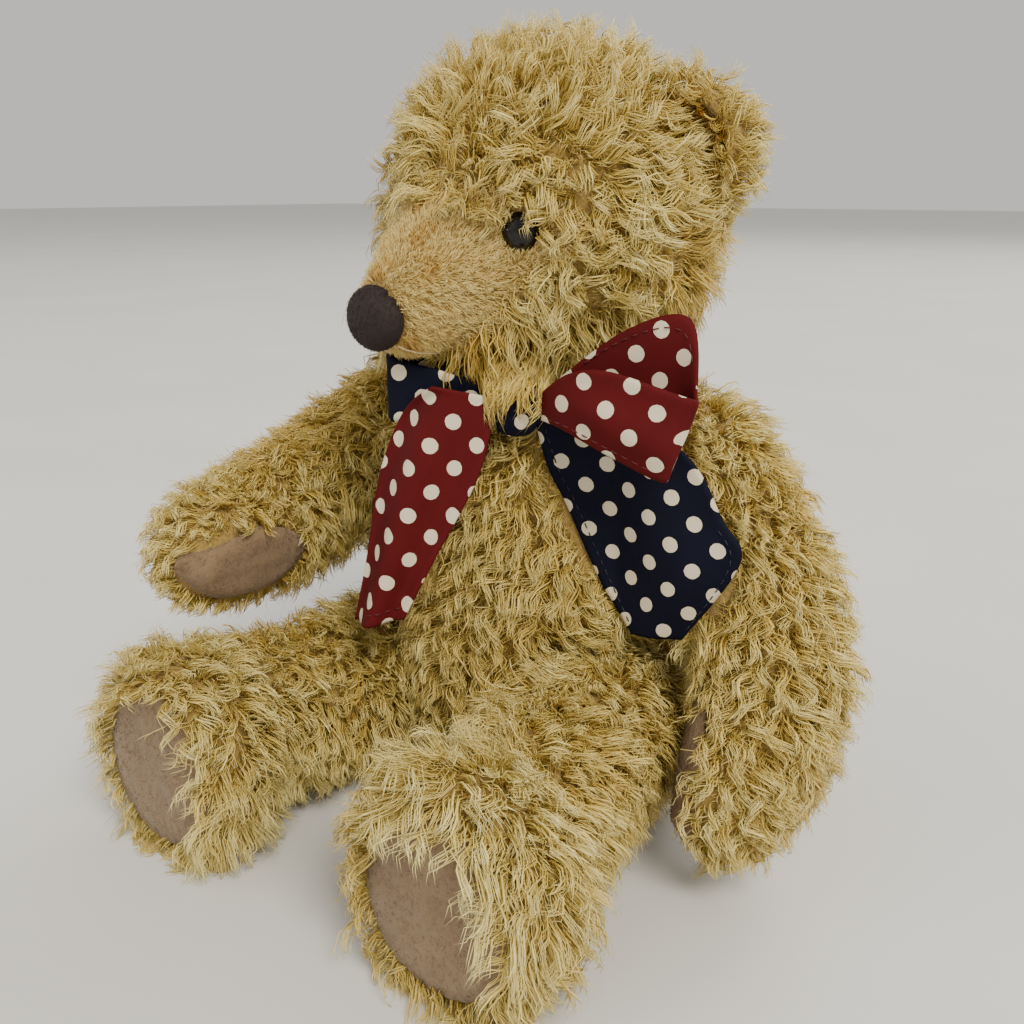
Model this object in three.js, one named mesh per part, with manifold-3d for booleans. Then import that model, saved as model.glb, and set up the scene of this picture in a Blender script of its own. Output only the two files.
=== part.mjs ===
// A jointed mohair teddy bear with a ribbon bow, sitting, in millimetres.
// +Z is up, the bear looks along -Y, and its own left side is +X.
// The origin is the middle of the flat seat under the body, on the surface it sits on.
import * as THREE from 'three';
import { mergeVertices } from 'three/addons/utils/BufferGeometryUtils.js';
import Module from 'manifold-3d';

const wasm = await Module();
wasm.setup();

// ---- driving dimensions ----------------------------------------------------
const GAP = 0.3; // between neighbouring pieces
const WALL = 3; // mohair cloth with the dense foot of its pile
const STUFFING_INSET = WALL + 0.4;

// Body: half width up the body's axis, from the flat seat to the neck.
const BODY_OUTLINE = [[26, 0], [38, 9], [44, 30], [44.5, 52], [43, 76], [41, 99], [37, 113], [24, 129]];
const BODY_DEPTH = 0.86; // front to back, as a share of the width
const BODY_SHIFT = 3; // backwards

// Neck: its axis leans to the bear's left, and the head is turned to its right.
const NECK = { pivot: [0, 0, 128], lean: 11, turn: -8, disc: 12 };
const SKULL = { centre: [0, -2, 38.3], radii: [42, 40, 41] };
const MUZZLE = { path: [[0, -17, 30], [0, -36, 24.5], [0, -48, 17.5]], radii: [24, 20, 12.5] };
const EAR = { centre: [31.5, 9, 62], radius: 16.5, depth: 8, wall: 3.5, splay: 14 };
const EYE = { centre: [21, -35.5, 40], radius: 4.5, height: 3.4, shank: 7, turn: 24 };
const NOSE = { centre: [0, -59.5, 14.5], radii: [8.6, 5, 7.6] };

// Arms: the path runs from the shoulder to the paw of an arm that hangs straight down.
// Each point is (outwards from the shoulder's face, backwards, up).
const SHOULDER = { x: 36, y: 5, z: 100, disc: 10, room: 24 };
const ARM_RADII = [19, 17.5, 16, 14.5];
const ARMS = {
  left: { swing: 23, path: [[14.5, 0, 0], [36, 7, -27], [47, 8, -54], [43.5, 0, -80]] },
  right: { swing: 73, path: [[14.5, 0, 0], [27, 7, -27], [31, 8, -54], [24, 0, -80]] },
};
// Where each palm looks: (outwards, backwards, up).
const PALM = { left: [-0.85, -0.5, 0], right: [-0.9, 0.28, -0.1] };

// Legs: the path runs from the hip to the ankle, (outwards, backwards, up) from the hip.
const HIP = { x: 22, y: -4, z: 29, disc: 11 };
const LEG_PATH = [[15, 0, 0], [17, -36, -1], [26, -80, -1]];
const LEG_RADII = [20, 19.5, 19];
const FOOT = { centre: [26, -90, -2], radii: [25, 17, 27.5], sole: 100 };
const HIP_ROOM = { radius: 22.5, rise: 10 }; // what the body leaves free for a thigh

// Felt pads, sewn over the soles and palms.
const PAD = { thickness: 1.6, foot: [20, 23], paw: [11, 19.5], palm: 6.5, flat: 10.6 };

// Disc joints: discs either side of the two cloths, a washer behind each, one cotter pin.
const DISC = { thickness: 2.4, hole: 1.6 };
const WASHER = { radius: 6, thickness: 0.8 };
const PIN = { radius: 1.2, eye: 2.1, wire: 0.8 };
const POCKET = { side: 0.6, pin: 5.4, end: 13.2 };

// Bow: two loops and two tails of one double-faced ribbon, round the neck.
const BOW = { place: [19.4, -35, 121], turn: 29, cloth: 1, knot: [7, 5, 8] };
const LOOPS = {
  left: { length: 46, width: 36, start: 9, swing: 18, lift: 7 },
  right: { length: 35, width: 24, start: 9, swing: 9, lift: 0 },
};
const TAILS = {
  left: [[5, -9], [8, -17], [29, -58], [41, -57], [56, -35], [45, -11], [30, -9]],
  right: [[-5, -9], [-25, -50], [-40, -56], [-34, -26], [-27, -2], [-17, -1], [-9, -5]],
};
const BAND = { radii: [35.5, 32], height: 8, place: [0, 2, 119] };

// Facets.
const SIDES = 14;
const CAP_RINGS = 3;
const PATH_RINGS = 5;
const BODY_RINGS = 10;

// ---- materials ---------------------------------------------------------------
const cloth = (color, roughness = 0.95) => () => new THREE.MeshStandardMaterial({ color, roughness });
const MOHAIR = cloth(0xcdb37a);
const WOOL = cloth(0xe6dcc6);
const FELT = cloth(0xa98a72);
const FLOSS = cloth(0x2a1816, 0.8);
const RED_RIBBON = cloth(0x6f1518, 0.7);
const NAVY_RIBBON = cloth(0x10142e, 0.7);
const BOARD = cloth(0x7a5637, 0.85);
const GLASS = () => new THREE.MeshStandardMaterial({ color: 0x0a0908, roughness: 0.12 });
const STEEL = () => new THREE.MeshStandardMaterial({ color: 0xb4b7ba, roughness: 0.35, metalness: 0.9 });

// ---- solids ------------------------------------------------------------------
const degrees = THREE.MathUtils.degToRad;

/** The manifold solid of a closed three.js geometry. */
function solidOf(geometry) {
  const bare = geometry.clone();
  bare.deleteAttribute('normal');
  bare.deleteAttribute('uv');
  const merged = mergeVertices(bare, 1e-4);
  return new wasm.Manifold(new wasm.Mesh({
    numProp: 3,
    vertProperties: new Float32Array(merged.attributes.position.array),
    triVerts: new Uint32Array(merged.index.array),
  }));
}

/** The three.js geometry of a manifold solid. */
function geometryOf(solid) {
  const mesh = solid.getMesh();
  const geometry = new THREE.BufferGeometry();
  geometry.setAttribute('position', new THREE.BufferAttribute(mesh.vertProperties, 3));
  geometry.setIndex(new THREE.BufferAttribute(mesh.triVerts, 1));
  geometry.computeVertexNormals();
  return geometry;
}

/** Joins any number of geometries into one solid. */
const union = (...geometries) => geometries.map(solidOf).reduce((all, one) => all.add(one));

/** Cuts geometries away from a solid. */
const without = (solid, ...cutters) => cutters.map(solidOf).reduce((rest, one) => rest.subtract(one), solid);

function ellipsoid(centre, radii, sides = SIDES, rings = 8) {
  const ball = new THREE.SphereGeometry(1, sides, rings).rotateX(Math.PI / 2);
  return ball.scale(...radii).translate(...centre);
}

/** A turned piece about +Z; the profile's points are (radius, height). */
function turned(profile, sides = SIDES) {
  const points = profile.map(([radius, height]) => new THREE.Vector2(radius, height));
  return new THREE.LatheGeometry(points, sides).rotateX(Math.PI / 2);
}

/** A round bar along +Z from one height to another. */
function bar(radius, from, to, sides = SIDES) {
  return turned([[0, from], [radius, from], [radius, to], [0, to]], sides);
}

/** A flat ring about +Z. */
function ring(outer, inner, from, to, sides = SIDES) {
  return turned([[inner, from], [outer, from], [outer, to], [inner, to], [inner, from]], sides);
}

/** A round-ended body around a path. inset shrinks it evenly on every side. */
function roundedBody(path, radii, inset = 0) {
  const curve = new THREE.CatmullRomCurve3(path.map((p) => new THREE.Vector3(...p)));
  const frames = curve.computeFrenetFrames(PATH_RINGS, false);
  const radiusCurve = new THREE.SplineCurve(radii.map((radius, i) => new THREE.Vector2(i, radius)));
  const spots = [];
  const addSpot = (k, radius, ahead) => {
    const centre = curve.getPoint(k / PATH_RINGS).addScaledVector(frames.tangents[k], ahead);
    spots.push({ centre, radius, normal: frames.normals[k], binormal: frames.binormals[k] });
  };
  const radiusAt = (k) => radiusCurve.getPoint(k / PATH_RINGS).y - inset;
  for (let i = 0; i < CAP_RINGS; i += 1) {
    const angle = (i / CAP_RINGS) * (Math.PI / 2);
    addSpot(0, radiusAt(0) * Math.sin(angle), -radiusAt(0) * Math.cos(angle));
  }
  for (let k = 0; k <= PATH_RINGS; k += 1) addSpot(k, radiusAt(k), 0);
  for (let i = CAP_RINGS - 1; i >= 0; i -= 1) {
    const angle = (i / CAP_RINGS) * (Math.PI / 2);
    const last = PATH_RINGS;
    addSpot(last, radiusAt(last) * Math.sin(angle), radiusAt(last) * Math.cos(angle));
  }
  const positions = [];
  for (const { centre, radius, normal, binormal } of spots) {
    for (let j = 0; j < SIDES; j += 1) {
      const angle = (j / SIDES) * 2 * Math.PI;
      const point = centre.clone().addScaledVector(normal, radius * Math.cos(angle));
      positions.push(...point.addScaledVector(binormal, radius * Math.sin(angle)).toArray());
    }
  }
  const faces = [];
  for (let i = 0; i < spots.length - 1; i += 1) {
    for (let j = 0; j < SIDES; j += 1) {
      const [a, b] = [i * SIDES + j, i * SIDES + ((j + 1) % SIDES)];
      if (i > 0) faces.push(a, b, a + SIDES);
      if (i < spots.length - 2) faces.push(b, b + SIDES, a + SIDES);
    }
  }
  const geometry = new THREE.BufferGeometry();
  geometry.setAttribute('position', new THREE.Float32BufferAttribute(positions, 3));
  geometry.setIndex(faces);
  return geometry;
}

/** A half space below z = 0 of a frame, as a box big enough for any piece here. */
function boxBelow(matrix = new THREE.Matrix4(), size = 300) {
  return new THREE.BoxGeometry(size, size, size).translate(0, 0, -size / 2).applyMatrix4(matrix);
}

/** The frame at a point whose +Z points along a direction. */
function frameAt(point, direction) {
  const turn = new THREE.Quaternion().setFromUnitVectors(
    new THREE.Vector3(0, 0, 1),
    new THREE.Vector3(...direction).normalize(),
  );
  return new THREE.Matrix4().compose(new THREE.Vector3(...point), turn, new THREE.Vector3(1, 1, 1));
}

const bear = new THREE.Group();

/** Adds a named piece to a group. */
function addPiece(group, name, geometry, material) {
  const mesh = new THREE.Mesh(geometry, material());
  mesh.name = name;
  group.add(mesh);
}

// ---- disc joints ---------------------------------------------------------------
// In a joint's own frame +Z points from the body into the head or limb, and z = 0 lies
// midway between the two cloths.
const DISC_FROM = GAP + WALL + GAP;
const WASHER_FROM = DISC_FROM + DISC.thickness + GAP;
const PIN_REACH = WASHER_FROM + WASHER.thickness + GAP;

const NECK_AXIS = [Math.sin(degrees(NECK.lean)), 0, Math.cos(degrees(NECK.lean))];
const SIDES_OF_BEAR = { left: 1, right: -1 };

/** A shoulder's or hip's disc and frame on one side. */
function sideJoint(place, sign) {
  return { disc: place.disc, frame: frameAt([sign * place.x, place.y, place.z], [sign, 0, 0]) };
}

const JOINTS = { neck: { disc: NECK.disc, frame: frameAt(NECK.pivot, NECK_AXIS) } };
for (const [side, sign] of Object.entries(SIDES_OF_BEAR)) {
  JOINTS[`${side}_shoulder`] = sideJoint(SHOULDER, sign);
  JOINTS[`${side}_hip`] = sideJoint(HIP, sign);
}

/** The hollow in the stuffing for one side's disc, washer and pin end. */
function pocket(disc) {
  return turned([
    [0, -1],
    [disc + POCKET.side, -1],
    [disc + POCKET.side, WASHER_FROM],
    [WASHER.radius + POCKET.side, WASHER_FROM],
    [WASHER.radius + POCKET.side, PIN_REACH],
    [POCKET.pin, PIN_REACH],
    [POCKET.pin, POCKET.end],
    [0, POCKET.end],
  ]);
}

const pinHole = () => bar(DISC.hole, -WALL * 2, WALL * 2, 8);
const toBodySide = new THREE.Matrix4().makeRotationX(Math.PI);

/** A split pin: a shank, an eye in the limb, and two legs curled back over the body's washer. */
function cotterPin() {
  const eye = new THREE.TorusGeometry(PIN.eye, PIN.wire, 4, 8);
  eye.rotateX(Math.PI / 2).translate(0, 0, PIN_REACH + PIN.eye + PIN.wire);
  const shank = bar(PIN.radius, -PIN_REACH - 1, PIN_REACH + 1.2, 6);
  const wire = new THREE.Shape().absarc(0, 0, PIN.wire, 0, 2 * Math.PI);
  const legs = [1, -1].map((side) => {
    const curl = new THREE.CatmullRomCurve3([
      new THREE.Vector3(side * 0.3, 0, -PIN_REACH),
      new THREE.Vector3(side * 0.9, 0, -PIN_REACH - 3.2),
      new THREE.Vector3(side * 2.6, 0, -PIN_REACH - 3.9),
      new THREE.Vector3(side * 3.7, 0, -PIN_REACH - 2.4),
    ]);
    return new THREE.ExtrudeGeometry(wire, { extrudePath: curl, steps: 3, curveSegments: 2 });
  });
  return geometryOf(union(shank, eye, ...legs));
}

/** Both discs, both washers and the pin of one joint. */
function addJoint(name, { disc, frame }) {
  const group = new THREE.Group();
  group.applyMatrix4(frame);
  const sides = { outer: new THREE.Matrix4(), body: toBodySide };
  for (const [where, matrix] of Object.entries(sides)) {
    const board = ring(disc, DISC.hole, DISC_FROM, DISC_FROM + DISC.thickness);
    const washer = ring(WASHER.radius, DISC.hole, WASHER_FROM, WASHER_FROM + WASHER.thickness, 12);
    addPiece(group, `${name}_${where}_disc`, board.applyMatrix4(matrix), BOARD);
    addPiece(group, `${name}_${where}_washer`, washer.applyMatrix4(matrix), STEEL);
  }
  addPiece(group, `${name}_cotter_pin`, cotterPin(), STEEL);
  bear.add(group);
}

// ---- body -----------------------------------------------------------------------
/** The room for a thigh: an upright slab beside the body, round at its upper back corner. */
function hipRoom(sign, grow) {
  const radius = HIP_ROOM.radius + grow;
  const reach = 90;
  const rise = radius + reach * Math.tan(degrees(HIP_ROOM.rise));
  const outline = new THREE.Shape();
  outline.moveTo(radius, -reach);
  outline.lineTo(radius, 0);
  outline.absarc(0, 0, radius, 0, Math.PI / 2);
  outline.lineTo(-reach, rise);
  outline.lineTo(-reach, -reach);
  outline.closePath();
  const slab = new THREE.ExtrudeGeometry(outline, { depth: 60, bevelEnabled: false, curveSegments: 4 });
  // the outline's x and y become the bear's y and z, and the slab runs outwards along x
  const axes = new THREE.Matrix4().set(0, 0, sign, 0, 1, 0, 0, 0, 0, 1, 0, 0, 0, 0, 0, 1);
  slab.translate(0, 0, HIP.x - GAP - grow).applyMatrix4(axes);
  if (sign < 0) turnInsideOut(slab);
  return slab.translate(0, HIP.y, HIP.z);
}

/** Swaps each face's direction, after a mirroring matrix. */
function turnInsideOut(geometry) {
  const order = Array.from({ length: geometry.attributes.position.count }, (_, i) => i);
  for (let i = 0; i < order.length; i += 3) [order[i], order[i + 1]] = [order[i + 1], order[i]];
  geometry.setIndex(order);
}

/** The body's outline, moved inwards by inset, as (radius, height) points. */
function bodyOutline(inset) {
  const spline = new THREE.SplineCurve(BODY_OUTLINE.map(([radius, z]) => new THREE.Vector2(radius, z)));
  const points = spline.getPoints(BODY_RINGS);
  return points.map((point, i) => {
    const ahead = points[Math.min(i + 1, BODY_RINGS)];
    const behind = points[Math.max(i - 1, 0)];
    const along = ahead.clone().sub(behind).normalize();
    return [point.x - inset * along.y, Math.max(point.y + inset * along.x, inset)];
  });
}

/** The whole body, smaller by inset on every side, with flats for the head, arms and thighs. */
function bodySolid(inset) {
  const [seat, ...sides] = bodyOutline(inset);
  const [neckRadius, neckTop] = sides.at(-1);
  const neckEnd = [[neckRadius - 2, neckTop + 4], [0, neckTop + 4]];
  const shape = turned([[0, inset], [seat[0], inset], ...sides.slice(1), ...neckEnd]);
  shape.scale(1, BODY_DEPTH, 1).translate(0, BODY_SHIFT, 0);
  const neckFlat = NECK.pivot.map((c, i) => c - NECK_AXIS[i] * (GAP + inset));
  const cutters = [boxBelow(frameAt(neckFlat, NECK_AXIS.map((c) => -c)))];
  for (const [side, sign] of Object.entries(SIDES_OF_BEAR)) {
    const armRoom = bar(SHOULDER.room + inset, -GAP - inset, 30);
    cutters.push(armRoom.applyMatrix4(JOINTS[`${side}_shoulder`].frame), hipRoom(sign, inset));
  }
  return without(solidOf(shape), ...cutters);
}

function addBody() {
  const holes = Object.values(JOINTS).map(({ frame }) => pinHole().applyMatrix4(frame));
  const pockets = Object.values(JOINTS).map(({ disc, frame }) => {
    return pocket(disc).applyMatrix4(toBodySide).applyMatrix4(frame);
  });
  addPiece(bear, 'body_skin', geometryOf(without(bodySolid(0).subtract(bodySolid(WALL)), ...holes)), MOHAIR);
  addPiece(bear, 'body_stuffing', geometryOf(without(bodySolid(STUFFING_INSET), ...pockets)), WOOL);
}

// ---- head -----------------------------------------------------------------------
function headSolid(inset) {
  const skull = ellipsoid(SKULL.centre, SKULL.radii.map((r) => r - inset), 18, 11);
  const muzzle = roundedBody(MUZZLE.path, MUZZLE.radii, inset);
  return without(union(skull, muzzle), boxBelow().translate(0, 0, GAP + inset));
}

const eyeFrame = (sign) => frameAt([sign * EYE.centre[0], EYE.centre[1], EYE.centre[2]],
  [sign * Math.sin(degrees(EYE.turn)), -Math.cos(degrees(EYE.turn)), 0.12]);

/** A domed eye with its shank behind it. grow makes the room for it. */
function eyeSolid(sign, grow = 0) {
  const dome = [0, 0.35, 0.7, 1].map((f) => {
    const angle = f * (Math.PI / 2);
    return [(EYE.radius + grow) * Math.cos(angle), (EYE.height + grow) * Math.sin(angle)];
  });
  dome[3][0] = 0;
  const shank = 1 + grow;
  return turned([[0, -EYE.shank - grow], [shank, -EYE.shank - grow], [shank, -1 - grow],
    [EYE.radius + grow, -1 - grow], ...dome], 12).applyMatrix4(eyeFrame(sign));
}

/** A cupped ear, hollow side forward. */
function earSolid(sign) {
  const outer = ellipsoid([0, 0, 0], [EAR.radius, EAR.depth, EAR.radius], 14, 8);
  const inner = EAR.radius - EAR.wall;
  const hollow = ellipsoid([0, -EAR.wall - 1.5, 0], [inner, EAR.depth - 1, inner], 14, 8);
  const place = new THREE.Matrix4().makeRotationZ(sign * degrees(EAR.splay));
  place.setPosition(sign * EAR.centre[0], EAR.centre[1], EAR.centre[2]);
  const cup = solidOf(outer.applyMatrix4(place)).subtract(solidOf(hollow.applyMatrix4(place)));
  return cup.subtract(headSolid(-GAP));
}

function addHead() {
  const head = new THREE.Group();
  head.applyMatrix4(new THREE.Matrix4().makeRotationZ(degrees(NECK.turn)));
  head.applyMatrix4(JOINTS.neck.frame);
  const holes = [pinHole(), eyeSolid(1, GAP), eyeSolid(-1, GAP)];
  addPiece(head, 'head_skin', geometryOf(without(headSolid(0).subtract(headSolid(WALL)), ...holes)), MOHAIR);
  const rooms = [pocket(NECK.disc), eyeSolid(1, GAP), eyeSolid(-1, GAP)];
  addPiece(head, 'head_stuffing', geometryOf(without(headSolid(STUFFING_INSET), ...rooms)), WOOL);
  for (const [side, sign] of Object.entries(SIDES_OF_BEAR)) {
    addPiece(head, `${side}_ear`, geometryOf(earSolid(sign)), MOHAIR);
    addPiece(head, `${side}_eye`, eyeSolid(sign), GLASS);
  }
  const nose = solidOf(ellipsoid(NOSE.centre, NOSE.radii, 12, 8)).subtract(headSolid(-GAP));
  addPiece(head, 'nose', geometryOf(nose), FLOSS);
  bear.add(head);
}

// ---- arms and legs -----------------------------------------------------------------
const mirrored = (path, sign) => path.map(([out, back, up]) => [sign * out, back, up]);

/** The frame of a palm: +Z points out of the felt, at the middle of its flat. */
function palmFrame(side) {
  const sign = SIDES_OF_BEAR[side];
  const [wrist, paw] = mirrored(ARMS[side].path.slice(-2), sign).map((p) => new THREE.Vector3(...p));
  const along = paw.clone().sub(wrist).normalize();
  const [x, y, z] = PALM[side];
  const out = new THREE.Vector3(sign * x, y, z).normalize();
  along.addScaledVector(out, -out.dot(along)).normalize();
  const across = new THREE.Vector3().crossVectors(along, out);
  const place = paw.addScaledVector(along, -PAD.palm).addScaledVector(out, PAD.flat);
  return new THREE.Matrix4().makeBasis(across, along, out).setPosition(place);
}

function armSolid(side, inset) {
  const sign = SIDES_OF_BEAR[side];
  const limb = roundedBody(mirrored(ARMS[side].path, sign), ARM_RADII, inset);
  const shoulder = boxBelow(frameAt([sign * (GAP + inset), 0, 0], [sign, 0, 0]));
  const [across, along] = PAD.paw.map((half) => half + 1 + inset);
  const palm = bar(1, -inset, 20, 20).scale(across, along, 1).applyMatrix4(palmFrame(side));
  return without(solidOf(limb), shoulder, palm);
}

function legSolid(sign, inset) {
  const [x, y, z] = FOOT.centre;
  const limb = roundedBody(mirrored(LEG_PATH, sign), LEG_RADII, inset);
  const foot = ellipsoid([sign * x, y, z], FOOT.radii.map((r) => r - inset));
  const hip = boxBelow(frameAt([sign * (GAP + inset), 0, 0], [sign, 0, 0]));
  const sole = boxBelow(frameAt([0, -FOOT.sole + inset, 0], [0, 1, 0]));
  const floor = boxBelow(frameAt([0, 0, inset - HIP.z], [0, 0, 1]));
  return without(union(limb, foot), hip, sole, floor);
}

/** An oval felt pad with a softly rounded edge, its outer face along +Z. */
function pad([across, along]) {
  const rim = PAD.thickness / 2;
  const disc = turned([[0, 0], [0.9, 0], [1, rim], [0.9, PAD.thickness], [0, PAD.thickness]], 20);
  return disc.scale(across, along, 1).translate(0, 0, GAP);
}

/** A limb's skin and stuffing, in a group at its joint. solidAt(inset) gives its shape. */
function addLimb(name, place, sign, swing, solidAt) {
  const limb = new THREE.Group();
  limb.position.set(sign * place.x, place.y, place.z);
  limb.rotation.x = -degrees(swing);
  const outwards = frameAt([0, 0, 0], [sign, 0, 0]);
  const skin = without(solidAt(0).subtract(solidAt(WALL)), pinHole().applyMatrix4(outwards));
  addPiece(limb, `${name}_skin`, geometryOf(skin), MOHAIR);
  const stuffing = without(solidAt(STUFFING_INSET), pocket(place.disc).applyMatrix4(outwards));
  addPiece(limb, `${name}_stuffing`, geometryOf(stuffing), WOOL);
  bear.add(limb);
  return limb;
}

function addLimbs() {
  for (const [side, sign] of Object.entries(SIDES_OF_BEAR)) {
    const arm = addLimb(`${side}_arm`, SHOULDER, sign, ARMS[side].swing, (inset) => armSolid(side, inset));
    addPiece(arm, `${side}_paw_pad`, pad(PAD.paw).applyMatrix4(palmFrame(side)), FELT);
    const leg = addLimb(`${side}_leg`, HIP, sign, 0, (inset) => legSolid(sign, inset));
    const sole = frameAt([sign * FOOT.centre[0], -FOOT.sole, FOOT.centre[2]], [0, -1, 0]);
    addPiece(leg, `${side}_foot_pad`, pad(PAD.foot).applyMatrix4(sole), FELT);
  }
}

// ---- bow ---------------------------------------------------------------------------
// In the bow's own frame x runs to the bear's left along the ribbon, -y away from the
// chest, z up, and the knot is at the origin.

/** A hollow loop of ribbon: narrow at the knot, as wide as the ribbon at its far end. */
function bowLoop({ length, width, start, swing, lift }, sign) {
  const band = (half, end) => {
    const side = new THREE.Path().moveTo(start + 1.2 - half * 0.4, 0);
    side.bezierCurveTo(start + 6, -half, end - 12, -half * 1.9, end - 4, -half * 1.5);
    side.bezierCurveTo(end, -half, end, half, end - 4, half * 1.5);
    side.bezierCurveTo(end - 12, half * 1.9, start + 6, half, start + 1.2 - half * 0.4, 0);
    return side.getPoints(5);
  };
  const outline = new THREE.Shape(band(3, length));
  outline.holes.push(new THREE.Path(band(3 - BOW.cloth, length - BOW.cloth)));
  const loop = new THREE.ExtrudeGeometry(outline, { depth: 1, bevelEnabled: false }).translate(0, 0, -0.5);
  const at = loop.attributes.position;
  for (let i = 0; i < at.count; i += 1) {
    const spread = THREE.MathUtils.lerp(0.3, 1, Math.min(1, (at.getX(i) - start) / (length - start - 6)));
    at.setZ(i, at.getZ(i) * width * spread);
  }
  return loop.rotateY(-degrees(lift)).rotateZ((sign > 0 ? 0 : Math.PI) - degrees(swing));
}

/** A flat tail of ribbon cut to an outline of (x, z) points; lean(x) gives its place along y. */
function bowTail(outline, lean) {
  const shape = new THREE.Shape(outline.map(([x, z]) => new THREE.Vector2(x, z)));
  const tail = new THREE.ExtrudeGeometry(shape, { depth: BOW.cloth, bevelEnabled: false });
  tail.rotateX(Math.PI / 2);
  const at = tail.attributes.position;
  for (let i = 0; i < at.count; i += 1) at.setY(i, at.getY(i) + lean(at.getX(i)));
  return tail;
}

function addBow() {
  const bow = new THREE.Group();
  bow.position.set(...BOW.place);
  bow.rotation.z = degrees(BOW.turn);
  addPiece(bow, 'bow_knot', ellipsoid([0, 0, 0], BOW.knot, 12, 8), NAVY_RIBBON);
  addPiece(bow, 'bow_left_loop', bowLoop(LOOPS.left, 1), RED_RIBBON);
  addPiece(bow, 'bow_right_loop', bowLoop(LOOPS.right, -1), NAVY_RIBBON);
  // the left tail bends forward over the arm, and the right one lies almost flat on the chest
  addPiece(bow, 'bow_left_tail', bowTail(TAILS.left, (x) => 3.5 - 0.55 * Math.max(0, x - 27)), NAVY_RIBBON);
  addPiece(bow, 'bow_right_tail', bowTail(TAILS.right, (x) => -5 + 0.12 * x), RED_RIBBON);
  bear.add(bow);
  const band = ring(1, 1 - BOW.cloth / BAND.radii[0], 0, BAND.height, 24).scale(...BAND.radii, 1);
  addPiece(bear, 'bow_neckband', band.translate(...BAND.place), NAVY_RIBBON);
}

addBody();
addHead();
addLimbs();
for (const [name, joint] of Object.entries(JOINTS)) addJoint(name, joint);
addBow();

export default bear;
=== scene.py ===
import math

import bmesh
import bpy
import numpy as np
from mathutils import Matrix, Vector, kdtree
from mathutils.bvhtree import BVHTree


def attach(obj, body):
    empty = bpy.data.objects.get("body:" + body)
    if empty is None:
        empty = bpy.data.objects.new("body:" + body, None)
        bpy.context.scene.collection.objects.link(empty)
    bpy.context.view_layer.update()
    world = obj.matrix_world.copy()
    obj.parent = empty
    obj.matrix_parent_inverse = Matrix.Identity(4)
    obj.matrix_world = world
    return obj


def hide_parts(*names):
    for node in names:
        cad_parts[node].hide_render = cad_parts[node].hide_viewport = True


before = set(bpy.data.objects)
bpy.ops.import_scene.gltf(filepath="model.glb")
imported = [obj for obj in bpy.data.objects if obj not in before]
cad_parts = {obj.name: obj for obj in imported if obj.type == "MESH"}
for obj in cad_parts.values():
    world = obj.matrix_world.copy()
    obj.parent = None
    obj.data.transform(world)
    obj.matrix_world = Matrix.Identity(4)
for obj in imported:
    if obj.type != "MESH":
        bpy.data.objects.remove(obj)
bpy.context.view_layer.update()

MM = 0.001
SIDES = {"left": 1, "right": -1}

# ---- places, as in the CAD part ----
NECK = {"pivot": (0, 0, 128), "lean": 11, "turn": -8, "disc": 12}
SHOULDER = {"x": 36, "y": 5, "z": 100, "disc": 10}
HIP = {"x": 22, "y": -4, "z": 29, "disc": 11}
SWING = {"left": 23, "right": 73}
ARM_PATH = {
    "left": [(14.5, 0, 0), (36, 7, -27), (47, 8, -54), (43.5, 0, -80)],
    "right": [(14.5, 0, 0), (27, 7, -27), (31, 8, -54), (24, 0, -80)],
}
PALM = {"left": (-0.85, -0.5, 0), "right": (-0.9, 0.28, -0.1)}
PALM_BACK = 6.5
PALM_FLAT = 10.6
PAW_RADIUS = 14.5
SOLE = {"x": 26, "y": -100, "z": -2}
EYE = {"centre": (21, -35.5, 40), "radius": 4.7, "height": 3.6, "turn": 24}
NOSE = {"centre": (0, -59.5, 14.5), "radii": (8.8, 5.4, 7.8)}
EAR = {"centre": (31.5, 9, 62), "base": (20, 7, 50)}
BOW = {"place": (19.4, -35, 121), "turn": 29}
STUFFING_INSET = 3.4

PILE = 13.0
POCKET_DEPTH = 11
PAD_CROWN = 1.7
CLOTH_THICKNESS = 0.7


def moved(x, y, z):
    return np.array(Matrix.Translation((x, y, z)))


def turned(degrees, axis):
    return np.array(Matrix.Rotation(math.radians(degrees), 4, axis))


HEAD = moved(*NECK["pivot"]) @ turned(NECK["lean"], "Y") @ turned(NECK["turn"], "Z")
ARM = {
    side: moved(sign * SHOULDER["x"], SHOULDER["y"], SHOULDER["z"]) @ turned(-SWING[side], "X")
    for side, sign in SIDES.items()
}
LEG = {side: moved(sign * HIP["x"], HIP["y"], HIP["z"]) for side, sign in SIDES.items()}
BOW_FRAME = moved(*BOW["place"]) @ turned(BOW["turn"], "Z")


def placed(matrix, points):
    """Points in a frame, as points in the row frame."""
    points = np.asarray(points, float)
    return points @ matrix[:3, :3].T + matrix[:3, 3]


def local(matrix, points):
    """Points in the row frame, as points in a frame."""
    return (points - matrix[:3, 3]) @ matrix[:3, :3]


def unit(vectors):
    return vectors / np.maximum(np.linalg.norm(vectors, axis=-1, keepdims=True), 1e-9)


def smoothstep(low, high, x):
    t = np.clip((x - low) / (high - low), 0, 1)
    return t * t * (3 - 2 * t)


def waves(points, size, seed):
    """A smooth random vector for each point; size is about one wave, in millimetres."""
    rng = np.random.default_rng(seed)
    out = np.zeros_like(points)
    for _ in range(5):
        way = rng.normal(size=(3, 3)) / size * 2 * np.pi / 1.7
        out += np.sin(points @ way + rng.uniform(0, 2 * np.pi, 3))
    return out / 2.2


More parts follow.
